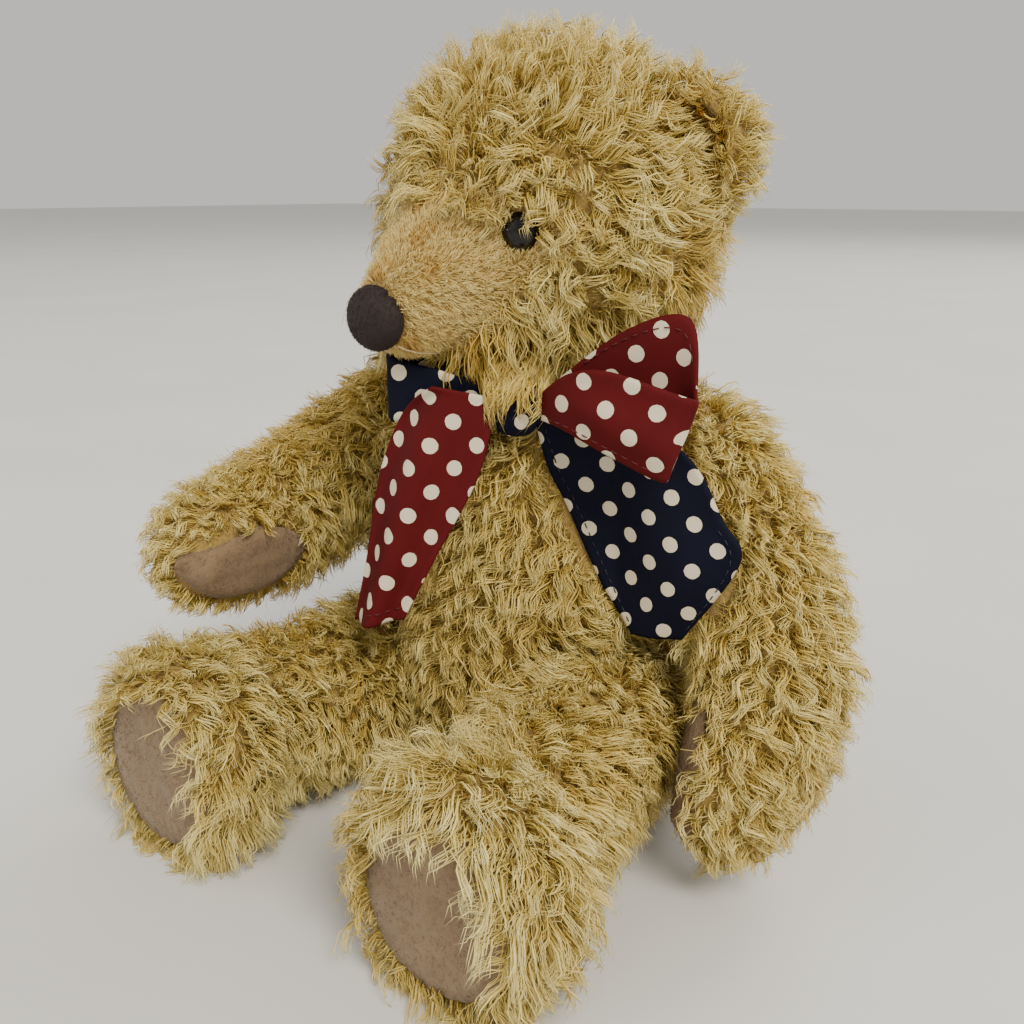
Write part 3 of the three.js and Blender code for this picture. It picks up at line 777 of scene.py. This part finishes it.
def ear_field(sign):
    side = np.array([sign, 1, 1])

    def field(points, normals):
        p = local(HEAD, points)
        comb = unit(p - side * EAR["base"]) + 0.6 * waves(p, 16, 41)
        comb[:, 2] -= 0.2
        front = smoothstep(-0.2, -0.75, (normals @ HEAD[:3, :3])[:, 1])
        rim = np.linalg.norm(p - side * EAR["centre"], axis=1)
        hollow = front * smoothstep(15, 10, rim)
        length = PILE * (0.7 - 0.38 * hollow)
        # The pile in the ear's hollow is darkened: painted shade in the recess.
        look = lie(p, comb @ HEAD[:3, :3].T, length, (52, 16), 1.1, dye=1.3 * hollow)
        look["keep"] = np.linalg.norm(p - np.array([0, -2, 38.3]), axis=1) > 42
        return look

    return field


SHORN = {"left": 0.0, "right": 1.0}  # how short the pile is round each palm


def arm_field(side):
    palm = palm_frame(side)

    def field(points, normals):
        p = local(ARM[side], points)
        at = local(palm, points)
        rim = np.hypot(at[:, 0] / 11.5, (at[:, 1] - 1.5) / 21)
        on_pad = (at[:, 2] > -8) & (rim < 0.97)
        beside = SHORN[side] * smoothstep(1.9, 1.1, rim) * (at[:, 2] > -9)
        paw = smoothstep(-62, -86, p[:, 2])
        comb = np.array([0, 0, -1.0]) @ ARM[side][:3, :3].T + np.array([0, 0, -0.4])
        comb = comb + 0.5 * waves(points, 28, 51)
        comb = comb + beside[:, None] * 1.2 * unit(at * np.array([1, 0.6, -0.5])) @ palm[:3, :3].T
        length = PILE * (0.9 - 0.25 * paw - 0.12 * beside)
        look = lie(points, comb, length, (60, 14), 1.4 - 0.5 * beside, dye=-0.3 * paw)
        look["keep"] = ~near_joint(points, normals, JOINT[side + "_shoulder"], 17) & ~on_pad
        return look

    return field


OVERHANG = {"left": (0.55, 0.85, 1.0), "right": (1.0, 0.1, 0.4)}


def leg_field(side):
    sign = SIDES[side]
    sole = np.array([sign * SOLE["x"], SOLE["y"], SOLE["z"]])
    across, up, amount = OVERHANG[side]

    def field(points, normals):
        at = local(LEG[side], points) - sole
        rim = np.hypot(at[:, 0] / 20, at[:, 2] / 23)
        on_pad = (np.abs(at[:, 1]) < 4) & (rim < 0.97)
        foot = smoothstep(45, 14, at[:, 1])
        front = smoothstep(22, 4, at[:, 1])
        toward = (at[:, 0] * across + at[:, 2] * up) / np.maximum(np.hypot(at[:, 0], at[:, 2]), 1)
        over = amount * front * smoothstep(0.2, 0.8, toward)
        radial = np.stack([at[:, 0], np.zeros(len(at)), at[:, 2]], axis=1) / 25
        comb = np.array([0.0, -0.75, -0.85]) + 0.55 * waves(points, 28, 61)
        comb = comb + foot[:, None] * (radial * 0.5 + np.array([0, -0.2, -0.35]))
        comb = comb + over[:, None] * (np.array([0, -1.2, 0]) - radial * 0.7)
        length = PILE * (0.92 + 0.06 * foot + 0.25 * over)
        lift = (60 - 8 * over, 14 + 8 * foot)
        look = lie(points, comb, length, lift, 1.4 + 0.5 * foot, 0.25 + 0.7 * over, -0.35 * foot)
        look["keep"] = ~near_joint(points, normals, JOINT[side + "_hip"], 19) & ~on_pad
        look["keep"] &= points[:, 2] > 1.5
        return look

    return field


def palm_frame(side):
    """The frame of a palm: +Z out of the felt, +Y along the paw."""
    sign = SIDES[side]
    wrist, paw = (np.array([sign * x, y, z], float) for x, y, z in ARM_PATH[side][-2:])
    along = unit(paw - wrist)
    out = unit(np.array([sign, 1, 1]) * PALM[side])
    along = unit(along - out * along.dot(out))
    across = np.cross(along, out)
    palm = np.eye(4)
    palm[:3, :3] = np.stack([across, along, out], axis=1)
    palm[:3, 3] = paw - along * PALM_BACK + out * PALM_FLAT
    return ARM[side] @ palm


# ---- pads, eyes and nose ----
def pad(name, node, body, matrix, outline, sag, seed):
    """A felt pad sewn in round its edge. outline(angle) gives its edge and sag(x, y) how far it
    bends down round the limb, in millimetres."""
    rng = np.random.default_rng(seed)
    columns, rows = 72, 14
    angles = np.linspace(0, 2 * np.pi, columns, endpoint=False)
    edge = outline(angles)
    pucker = 0.16 * np.sin(26 * angles) + 0.1 * np.sin(41 * angles + 1)
    points = [(0, 0, PAD_CROWN + 0.3)]
    dent = rng.uniform(0, 2 * np.pi, 4)
    for ratio in np.linspace(0.08, 1, rows):
        x, y = edge[:, 0] * ratio, edge[:, 1] * ratio
        lumps = 0.22 * np.sin(x * 0.35 + dent[0]) * np.sin(y * 0.28 + dent[1])
        lumps = lumps + 0.1 * np.sin(x * 0.9 + dent[2])
        height = 0.3 + PAD_CROWN * (1 - ratio**5) + lumps * (1 - ratio**4)
        height = height + pucker * smoothstep(0.7, 0.98, ratio)
        height = height - 0.35 * np.exp(-(((ratio - 0.93) / 0.03) ** 2)) + sag(x, y)
        points += list(zip(x, y, height))
    points += list(zip(edge[:, 0] * 0.99, edge[:, 1] * 0.99, sag(edge[:, 0], edge[:, 1]) - 0.5))
    points.append((0, 0, -0.5))
    faces = [(0, 1 + (j + 1) % columns, 1 + j) for j in range(columns)]
    faces += [tuple(1 + i for i in face[::-1]) for face in grid_faces(rows + 1, columns, wrap=True)]
    last = len(points) - 1
    start = last - columns
    faces += [(last, start + j, start + (j + 1) % columns) for j in range(columns)]
    piece = closed_piece(name, placed(matrix, points), faces, FELT)
    settle(piece, body, "felt", node)
    grow(name + "_nap", piece, body, nap_field(matrix), 0.75, seed, NAP, FELT_NAP, "felt", tries=9000)


def nap_field(matrix):
    """The loose fibres that stand on felt."""

    def field(points, normals):
        look = lie(points, waves(points, 7, 81), 1.5, (35, 12), 0.3, 0)
        look["keep"] = normals @ matrix[:3, 2] > -0.2
        return look

    return field


def foot_outline(angles):
    x = 19.5 * np.cos(angles)
    y = 22.5 * np.sin(angles)
    return np.stack([x * (1 - 0.10 * np.sin(angles)), y], axis=1)


def foot_sag(x, y):
    return np.zeros(len(x))


def paw_outline(angles):
    across, along = np.cos(angles), np.sin(angles)
    return np.stack([11 * across * np.abs(across) ** 0.3, (20.6 + 1.6 * along) * along], axis=1)


def paw_sag(x, y):
    """The felt follows the round end of the paw."""
    reach = np.minimum(np.hypot(x, np.maximum(y - PALM_BACK, 0)), PAW_RADIUS - 0.6)
    return np.minimum(np.sqrt(PAW_RADIUS**2 - reach**2) - PALM_FLAT, 0)


def eye(side):
    sign = SIDES[side]
    turn = math.radians(EYE["turn"])
    x, y, z = EYE["centre"]
    out = (sign * math.sin(turn), -math.cos(turn), 0.12)
    matrix = HEAD @ joint_frame((sign * x, y, z), out)
    columns = 36
    profile = [(0.9, -5.0), (1.0, -1.6), (EYE["radius"] * 0.93, -1.5), (EYE["radius"], -0.9)]
    for angle in np.linspace(0, np.pi / 2, 12)[:-1]:
        profile.append((EYE["radius"] * math.cos(angle), EYE["height"] * math.sin(angle)))
    points = []
    for radius, height in profile:
        for a in np.linspace(0, 2 * np.pi, columns, endpoint=False):
            points.append((radius * math.cos(a), radius * math.sin(a), height))
    points += [(0, 0, profile[0][1]), (0, 0, EYE["height"])]
    faces = capped_faces(len(profile), columns)
    piece = closed_piece(f"{side}_eye_glass", placed(matrix, points), faces, EYE_GLASS)
    settle(piece, "head", "eye", f"{side}_eye")


def nose():
    """An oval of satin-stitched wool, with upright threads and a nick in its upper edge."""
    columns, rows = 64, 34
    rx, ry, rz = NOSE["radii"]
    points = []
    for i in range(rows):
        polar = np.pi * (i + 0.5) / rows
        for a in np.linspace(0, 2 * np.pi, columns, endpoint=False):
            x, z = math.sin(polar) * math.cos(a), math.sin(polar) * math.sin(a)
            threads = 1 + 0.018 * math.sin(x * 30) * math.sqrt(max(0, 1 - x * x))
            nick = 1 - 0.16 * math.exp(-((x - 0.42) ** 2) / 0.006) * max(0, z) ** 2
            points.append((x * rx * threads, -math.cos(polar) * ry * threads, z * rz * threads * nick))
    points += [(0, -ry, 0), (0, ry, 0)]
    matrix = HEAD @ moved(*NOSE["centre"])
    faces = capped_faces(rows, columns)
    piece = closed_piece("nose_stitched", placed(matrix, points), faces, FLOSS)
    settle(piece, "head", "nose_floss", "nose")
    return piece


def nose_fuzz_field(points, normals):
    p = local(HEAD, points)
    comb = np.array([0, 0, -1.0]) + 0.8 * waves(p, 6, 71)
    look = lie(p, comb @ HEAD[:3, :3].T, 1.1, (45, 20), 0.1, 0)
    look["keep"] = (normals @ HEAD[:3, :3])[:, 1] < 0.35
    return look


def tube(points, radius, sides=8):
    """Points and faces of a closed round tube along points."""
    points = np.asarray(points, float)
    along = unit(np.gradient(points, axis=0))
    side = unit(np.cross(along, [0.31, 0.2, 0.93]))
    other = np.cross(along, side)
    rings = []
    for p, u, v in zip(points, side, other):
        for k in range(sides):
            a = 2 * math.pi * k / sides
            rings.append(p + radius * (u * math.cos(a) + v * math.sin(a)))
    count = len(points)
    faces = grid_faces(count, sides, wrap=True)
    faces += [tuple(range(sides))[::-1], tuple((count - 1) * sides + k for k in range(sides))]
    return rings, faces


def snapped(tree, matrix, points, lift):
    """Points in a frame, dropped on a surface and lifted off it."""
    out = []
    for p in placed(matrix, points):
        place, normal, _, _ = tree.find_nearest(Vector(p) * MM)
        out.append(np.array(place + normal * lift * MM) / MM)
    return np.array(out)


def muzzle_seam(head):
    """The end of the thread that runs back from the nose along the muzzle's lower side."""
    bm = bmesh.new()
    bm.from_mesh(head.data)
    tree = BVHTree.FromBMesh(bm)
    bm.free()
    route = [(6.5, -57.5, 8.6), (7.6, -55, 8.3), (8.6, -52, 8.0), (9.6, -49, 7.6), (10.4, -46.5, 7.4)]
    points, faces = tube(snapped(tree, HEAD, route, 2.0), 0.2)
    settle(closed_piece("muzzle_thread", points, faces, PALE_THREAD), "head", "mohair")


# ---- bow ----
def curve_points(controls, count):
    """Evenly counted points on a smooth curve through controls."""
    controls = np.asarray(controls, float)
    at = np.linspace(0, len(controls) - 1, count)
    i = np.clip(at.astype(int), 0, len(controls) - 2)
    t = (at - i)[:, None]
    p1, p2 = controls[i], controls[i + 1]
    p0 = controls[np.maximum(i - 1, 0)]
    p3 = controls[np.minimum(i + 2, len(controls) - 1)]
    square = 2 * p0 - 5 * p1 + 4 * p2 - p3
    cube = 3 * p1 - p0 - 3 * p2 + p3
    return 0.5 * (2 * p1 + (p2 - p0) * t + square * t**2 + cube * t**3)


def cloth_piece(name, node, grid, colour, matrix, cloth):
    """A closed sheet of cloth round a grid (row, column, xyz) of its middle surface. cloth is the
    grid's flat (x, y) places, for the print."""
    rows, columns, _ = grid.shape
    normals = unit(np.cross(np.gradient(grid, axis=0), np.gradient(grid, axis=1)))
    down, over = np.meshgrid(np.arange(rows), np.arange(columns), indexing="ij")
    edge = np.minimum.reduce([down, rows - 1 - down, over, columns - 1 - over])[..., None]
    half = CLOTH_THICKNESS / 2 * np.where(edge == 0, 0.75, 1.0)
    hem = np.where((edge >= 1) & (edge <= 2), 1.25, 1.0)
    front = (grid + normals * half * hem).reshape(-1, 3)
    back = (grid - normals * half * hem).reshape(-1, 3)
    count = rows * columns
    faces = grid_faces(rows, columns)
    faces += [tuple(count + i for i in face[::-1]) for face in faces]
    rim = list(range(columns)) + [i * columns + columns - 1 for i in range(1, rows)]
    rim += [(rows - 1) * columns + j for j in range(columns - 2, -1, -1)]
    rim += [i * columns for i in range(rows - 2, 0, -1)]
    for a, b in zip(rim, rim[1:] + rim[:1]):
        faces.append((b, a, count + a, count + b))
    points = placed(matrix, np.concatenate([front, back]))
    piece = closed_piece(name, points, faces, RIBBON[colour])
    lay_print(piece, np.tile(cloth.reshape(-1, 2), (2, 1)))
    HANGING.append(local(BOW_FRAME, placed(matrix, grid.reshape(-1, 3))))
    settle(piece, "body", f"{colour}_ribbon", node)


STITCH = {"length": 1.7, "gap": 1.1, "radius": 0.17, "lead": 0.6, "proud": 0.5}


def stitches(name, line, matrix, colour):
    """A row of running stitches in front of a line of points on the cloth."""
    line = np.asarray(line, float) - [0, STITCH["proud"], 0]
    steps = np.linalg.norm(np.diff(line, axis=0), axis=1)
    at = np.concatenate([[0], np.cumsum(steps)])
    points, faces = [], []
    start = STITCH["lead"]
    while start + STITCH["length"] < at[-1]:
        spots = np.linspace(start, start + STITCH["length"], 5)
        middle = np.stack([np.interp(spots, at, line[:, k]) for k in range(3)], axis=1)
        middle[:, 1] -= [-0.25, 0.12, 0.2, 0.12, -0.25]
        rings, sides = tube(middle, STITCH["radius"], 6)
        faces += [tuple(len(points) + i for i in face) for face in sides]
        points += rings
        start += STITCH["length"] + STITCH["gap"]
    piece = closed_piece(name, placed(matrix, points), faces, THREAD[colour])
    settle(piece, "body", f"{colour}_ribbon")


def ruled(left, right, rows, columns, depth):
    """A grid between two edges of (x, z) points; depth(u, v, x) is how far back it lies."""
    a, b = curve_points(left, rows), curve_points(right, rows)
    u = np.linspace(0, 1, columns)[None, :, None]
    flat = a[:, None, :] * (1 - u) + b[:, None, :] * u
    v = np.linspace(0, 1, rows)[:, None]
    y = depth(u[..., 0], v, flat[..., 0])
    return np.stack([flat[..., 0], np.broadcast_to(y, flat.shape[:2]), flat[..., 1]], axis=-1), flat


def unrolled(grid, flat):
    """Flat cloth places for a curved tail: its rows are as long as they are on the curve."""
    steps = np.linalg.norm(np.diff(grid[..., :2], axis=1), axis=2)
    across = flat[:, -1:, 0] - np.cumsum(steps[:, ::-1], axis=1)[:, ::-1]
    return np.stack([np.concatenate([across, flat[:, -1:, 0]], axis=1), flat[..., 1]], axis=-1)


def navy_tail():
    left = [(4.5, -4), (8, -17), (13, -27), (22.5, -48), (31.5, -61.5)]
    right = [(36, -4), (46, -13), (52.5, -25), (57.5, -36), (44.5, -60)]

    def depth(u, v, x):
        lean = 3.5 - 0.55 * np.maximum(0, x - 27)
        pleat = 1.5 * np.sin(2.4 * np.pi * u + 0.6) * (0.35 + 0.65 * v)
        twist = 0.9 * np.sin(5 * u + 3 * v) + 1.2 * (v - 0.5) * (u - 0.5)
        return lean + pleat * smoothstep(1.0, 0.7, v) + twist

    grid, flat = ruled(left, right, 44, 30, depth)
    cloth = unrolled(grid, flat)
    cloth_piece("bow_navy_tail_cloth", "bow_left_tail", grid, "navy", BOW_FRAME, cloth)
    stitches("bow_navy_tail_hem", grid[2:-2, 2], BOW_FRAME, "navy")
    stitches("bow_navy_tail_end", grid[24:-2, -3], BOW_FRAME, "navy")


def red_tail():
    left = [(-20, 6), (-29, -2), (-36, -19), (-40, -41), (-44, -60)]
    right = [(-5, 3), (-5.5, -5.5), (-9.5, -19), (-19.5, -38), (-28.5, -56)]

    def depth(u, v, x):
        curl = 7.5 * smoothstep(0.35, 0.0, u) * smoothstep(0.0, 0.3, v)
        pleat = 1.1 * np.sin(3.1 * np.pi * u + 0.4) * smoothstep(0, 0.5, v)
        return -5 + 0.12 * x + curl + pleat + 1.0 * np.sin(3 * v + 2 * u)

    grid, flat = ruled(left, right, 44, 26, depth)
    cloth = unrolled(grid, flat)
    cloth_piece("bow_red_tail_cloth", "bow_right_tail", grid, "red", BOW_FRAME, cloth)
    stitches("bow_red_tail_end", grid[-4, 1:-1], BOW_FRAME, "red")


def two_edged(low, high, rows, columns):
    """A grid between two edges of (x, y, z) points, and its parameters along and across them."""
    a, b = curve_points(low, rows)[:, None, :], curve_points(high, rows)[:, None, :]
    u = np.linspace(0, 1, rows)[:, None]
    v = np.linspace(0, 1, columns)[None, :]
    return a * (1 - v[..., None]) + b * v[..., None], u, v


def red_loop():
    """The wide left loop: a front layer folded down over a taller back layer."""
    matrix = BOW_FRAME @ turned(-18, "Z")
    low = [
        (8, -1.5, -2.5), (15, -5, -3.5), (26, -6.5, -8), (39.5, -6, -13.5),
        (40.5, -2.2, -13.5), (31, 0, -9), (21, 0.5, -5), (9, 1, -2),
    ]
    high = [
        (8, -1.5, 4.5), (17, -5.5, 10.5), (28, -7.5, 12), (46.5, -5.2, 7),
        (47.5, -2, 7.5), (44, 1.5, 24.3), (28, 1.8, 20.5), (8, 1, 5),
    ]
    grid, u, v = two_edged(low, high, 60, 22)
    swell = np.sin(np.pi * v) * np.where(u < 0.45, -1.6, 0.8) * np.sin(np.pi * u)
    crease = 0.6 * np.sin(9 * v + 4 * u) * smoothstep(0.45, 0.1, np.abs(u - 0.5) * 2 - 0.3)
    grid[..., 1] += swell + crease
    out = np.where(u < 0.5, grid[..., 0], 95 - grid[..., 0])
    cloth = np.stack([out, grid[..., 2]], axis=-1)
    cloth_piece("bow_red_loop_cloth", "bow_left_loop", grid, "red", matrix, cloth)
    stitches("bow_red_loop_hem", grid[38:56, -3], matrix, "red")
    stitches("bow_red_loop_edge", grid[3:26, 2], matrix, "red")


def navy_loop():
    """The smaller right loop, mostly behind the muzzle and the red tail."""
    matrix = BOW_FRAME @ turned(-9, "Z")
    low = [
        (-8, -1.5, -2.5), (-19, -3, -4), (-31, -4, -5), (-33, -2, -5),
        (-33.5, 0.5, -5), (-20, 3.5, -5), (-8, 1, -2.5),
    ]
    high = [
        (-8, -1.5, 5), (-19, -3.5, 9), (-31, -4.5, 11.5), (-33, -2, 12),
        (-33.5, 0.5, 12), (-20, 4, 10), (-8, 1, 5),
    ]
    grid, u, v = two_edged(low, high, 48, 16)
    grid[..., 1] += np.sin(np.pi * v) * np.where(u < 0.5, -1.2, 1.2) * np.sin(np.pi * u)
    out = np.where(u < 0.5, grid[..., 0], -67 - grid[..., 0])
    cloth = np.stack([out + 2, grid[..., 2] + 1], axis=-1)
    cloth_piece("bow_navy_loop_cloth", "bow_right_loop", grid, "navy", matrix, cloth)


NECKBAND = {"place": (0, 2, 123), "radii": (35.2, 31.8), "half": 5.2, "thick": 0.8, "girth": 211}


def neckband():
    """A closed band of ribbon round the neck, with slight folds."""
    rows, columns = 9, 96
    rx, ry = NECKBAND["radii"]
    points, cloth = [], []
    for t in np.linspace(-1, 1, rows):
        for a in 2 * np.pi * np.arange(columns) / columns:
            fold = 1 + 0.006 * math.sin(5 * t + 2 * math.sin(a)) * math.cos(3 * a)
            points.append((rx * fold * math.cos(a), ry * fold * math.sin(a), t * NECKBAND["half"]))
            cloth.append((rx * a, t * NECKBAND["half"]))
    outer = np.array(points)
    inner = outer * [1 - NECKBAND["thick"] / rx, 1 - NECKBAND["thick"] / ry, 1]
    count = len(outer)
    faces = [face[::-1] for face in grid_faces(rows, columns, wrap=True)]
    faces += [tuple(count + i for i in face[::-1]) for face in faces]
    for base in (0, (rows - 1) * columns):
        for j in range(columns):
            k = (j + 1) % columns
            ring = (base + j, base + k, count + base + k, count + base + j)
            faces.append(ring if base else ring[::-1])
    points = placed(moved(*NECKBAND["place"]), np.concatenate([outer, inner]))
    piece = closed_piece("bow_neckband_cloth", points, faces, RIBBON["navy"])
    lay_print(piece, np.tile(cloth, (2, 1)))
    settle(piece, "body", "navy_ribbon", "bow_neckband")


KNOT = {"radii": (6.6, 4.8), "half": 7.8}


def knot():
    """The pinched knot: a short band of ribbon round the gathered middle, bulging between pleats."""
    columns, rows = 40, 26
    rx, ry = KNOT["radii"]
    points, cloth = [], []
    for i in range(rows):
        t = -1 + 2 * (i + 0.5) / rows
        swell = math.sqrt(max(0.02, 1 - abs(t) ** 3))
        for j in range(columns):
            a = 2 * np.pi * j / columns
            pleat = 1 + 0.07 * math.sin(7 * a + 2 * t)
            across = (rx * swell * pleat * math.cos(a), ry * swell * pleat * math.sin(a))
            points.append((*across, KNOT["half"] * t))
            cloth.append((rx * a, KNOT["half"] * t))
    points += [(0, 0, -KNOT["half"]), (0, 0, KNOT["half"])]
    cloth += [(0, -KNOT["half"]), (0, KNOT["half"])]
    faces = capped_faces(rows, columns)
    piece = closed_piece("bow_knot_cloth", placed(BOW_FRAME, points), faces, RIBBON["navy"])
    lay_print(piece, cloth)
    settle(piece, "body", "navy_ribbon", "bow_knot")


# ---- the bear ----
def outwards(matrix):
    """A joint's frame turned over, to look into the body."""
    return matrix @ turned(180, "X")


def make_body():
    fills = [(outwards(JOINT["neck"]), NECK["disc"] + 2, POCKET_DEPTH)]
    for side in SIDES:
        fills.append((outwards(JOINT[side + "_shoulder"]), SHOULDER["disc"] + 2, POCKET_DEPTH))
        fills.append((outwards(JOINT[side + "_hip"]), HIP["disc"] + 2, POCKET_DEPTH))
    form = stuffed("body_form", "body", ["body_skin", "body_stuffing"], "body_stuffing", fills)
    grow("body_fur", form, "body", body_field, 2.9, 1, tuck=EVERYWHERE)
    undercoat("body_under", form, "body", body_field, 66, tuck=EVERYWHERE)


def make_head():
    fills = [(JOINT["neck"], NECK["disc"] + 2, POCKET_DEPTH)]
    form = stuffed("head_form", "head", ["head_skin", "head_stuffing"], "head_stuffing", fills)
    grow("head_fur", form, "head", head_field, 2.8, 3, tuck=26, over=True)
    undercoat("head_under", form, "head", head_field, 64)
    grow("muzzle_fur", form, "head", muzzle_field, 0.62, 5, CLIP, CLIPPED, tries=220000)
    for side, sign in SIDES.items():
        name = side + "_ear"
        ear = stuffed(name + "_form", "head", [name], name, voxel=1.1, smooth=8, swell=0.3)
        grow(name + "_fur", ear, "head", ear_field(sign), 2.4, 6 + sign, tries=16000)
        eye(side)
    grow("nose_fuzz", nose(), "head", nose_fuzz_field, 0.42, 8, STUBBLE, FUZZ, "nose_floss")
    muzzle_seam(form)


def make_limb(side, part, joint, disc, field, seeds, tuck=None):
    """An arm or a leg with its pile: seeds are for its locks and its undercoat."""
    limb = f"{side}_{part}"
    fill = (JOINT[f"{side}_{joint}"], disc + 2, POCKET_DEPTH)
    stuffing = limb + "_stuffing"
    form = stuffed(limb + "_form", limb, [limb + "_skin", stuffing], stuffing, [fill])
    grow(limb + "_fur", form, limb, field, 2.8, seeds[0], tuck=tuck)
    undercoat(limb + "_under", form, limb, field, seeds[1], tuck=tuck)


def make_limbs():
    for index, (side, sign) in enumerate(SIDES.items()):
        arm, leg = f"{side}_arm", f"{side}_leg"
        seeds = (10 + index, 60 + index)
        make_limb(side, "arm", "shoulder", SHOULDER["disc"], arm_field(side), seeds, EVERYWHERE)
        make_limb(side, "leg", "hip", HIP["disc"], leg_field(side), (20 + index, 62 + index))
        palm = palm_frame(side)
        pad(f"{side}_paw_felt", f"{side}_paw_pad", arm, palm, paw_outline, paw_sag, 40 + index)
        middle = (sign * (HIP["x"] + SOLE["x"]), HIP["y"] + SOLE["y"], HIP["z"] + SOLE["z"])
        sole = joint_frame(middle, (0, -1, 0))
        pad(f"{side}_foot_felt", f"{side}_foot_pad", leg, sole, foot_outline, foot_sag, 50 + index)


def make_bow():
    knot()
    red_loop()
    navy_loop()
    navy_tail()
    red_tail()
    neckband()


def dress_joints():
    for name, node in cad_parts.items():
        if name.endswith("_disc"):
            node.material_slots[0].material = HARDBOARD
        elif name.endswith(("_washer", "_pin")):
            node.material_slots[0].material = STEEL


# ---- camera, light and floor ----
FLOOR_REACH = 9000


def make_stage():
    corners = [(x * FLOOR_REACH, y * FLOOR_REACH, 0) for x, y in ((-1, -1), (1, -1), (1, 1), (-1, 1))]
    mesh = face_mesh("floor", corners, [(0, 1, 2, 3)])
    s = Shader("floor_pale")
    cloud = s.noise(6.0, 2.0)
    colour = s.ramp(cloud, [(0.3, (0.66, 0.66, 0.65)), (0.7, (0.70, 0.70, 0.69))])
    add_object("floor", mesh, s.finish(colour, s.scaled(cloud, 0.75, 0.85)))


MIDDLE = (0, -0.02, 0.1)
LIGHTS = {
    "key": {"place": (2.1, -1.2, 2.6), "size": 1.3, "power": 125, "colour": (1.0, 0.93, 0.80)},
    "fill": {"place": (-2.2, -2.2, 1.6), "size": 2.4, "power": 24, "colour": (1.0, 0.96, 0.90)},
    "rim": {"place": (0.3, 2.6, 2.4), "size": 1.8, "power": 55, "colour": (1.0, 0.96, 0.90)},
}
SKY = {"colour": (1.0, 0.97, 0.92, 1), "strength": 0.68}


def add_light(name, place, size, power, colour):
    """A soft square lamp that looks at the bear's middle."""
    light = bpy.data.lights.new(name, "AREA")
    light.size = size
    light.energy = power
    light.color = colour
    lamp = bpy.data.objects.new(name, light)
    lamp.location = place
    lamp.rotation_euler = (Vector(MIDDLE) - Vector(place)).to_track_quat("-Z", "Y").to_euler()
    bpy.context.scene.collection.objects.link(lamp)


def make_light():
    for name, light in LIGHTS.items():
        add_light(name, **light)
    world = bpy.data.worlds.new("studio")
    world.use_nodes = True
    background = world.node_tree.nodes["Background"]
    background.inputs["Color"].default_value = SKY["colour"]
    background.inputs["Strength"].default_value = SKY["strength"]
    bpy.context.scene.world = world


CAMERA = {"place": (0.1718, -0.2462, 0.174), "azimuth": 36.0, "down": 17.3, "lens": 36.56, "sensor": 36}


def make_camera():
    data = bpy.data.cameras.new("camera")
    data.lens = CAMERA["lens"]
    data.sensor_width = CAMERA["sensor"]
    data.clip_start = 0.01
    camera = bpy.data.objects.new("camera", data)
    camera.location = CAMERA["place"]
    camera.rotation_euler = (math.radians(90 - CAMERA["down"]), 0, math.radians(CAMERA["azimuth"]))
    bpy.context.scene.collection.objects.link(camera)
    bpy.context.scene.camera = camera


make_camera()
make_bow()
make_body()
make_head()
make_limbs()
dress_joints()
make_stage()
make_light()
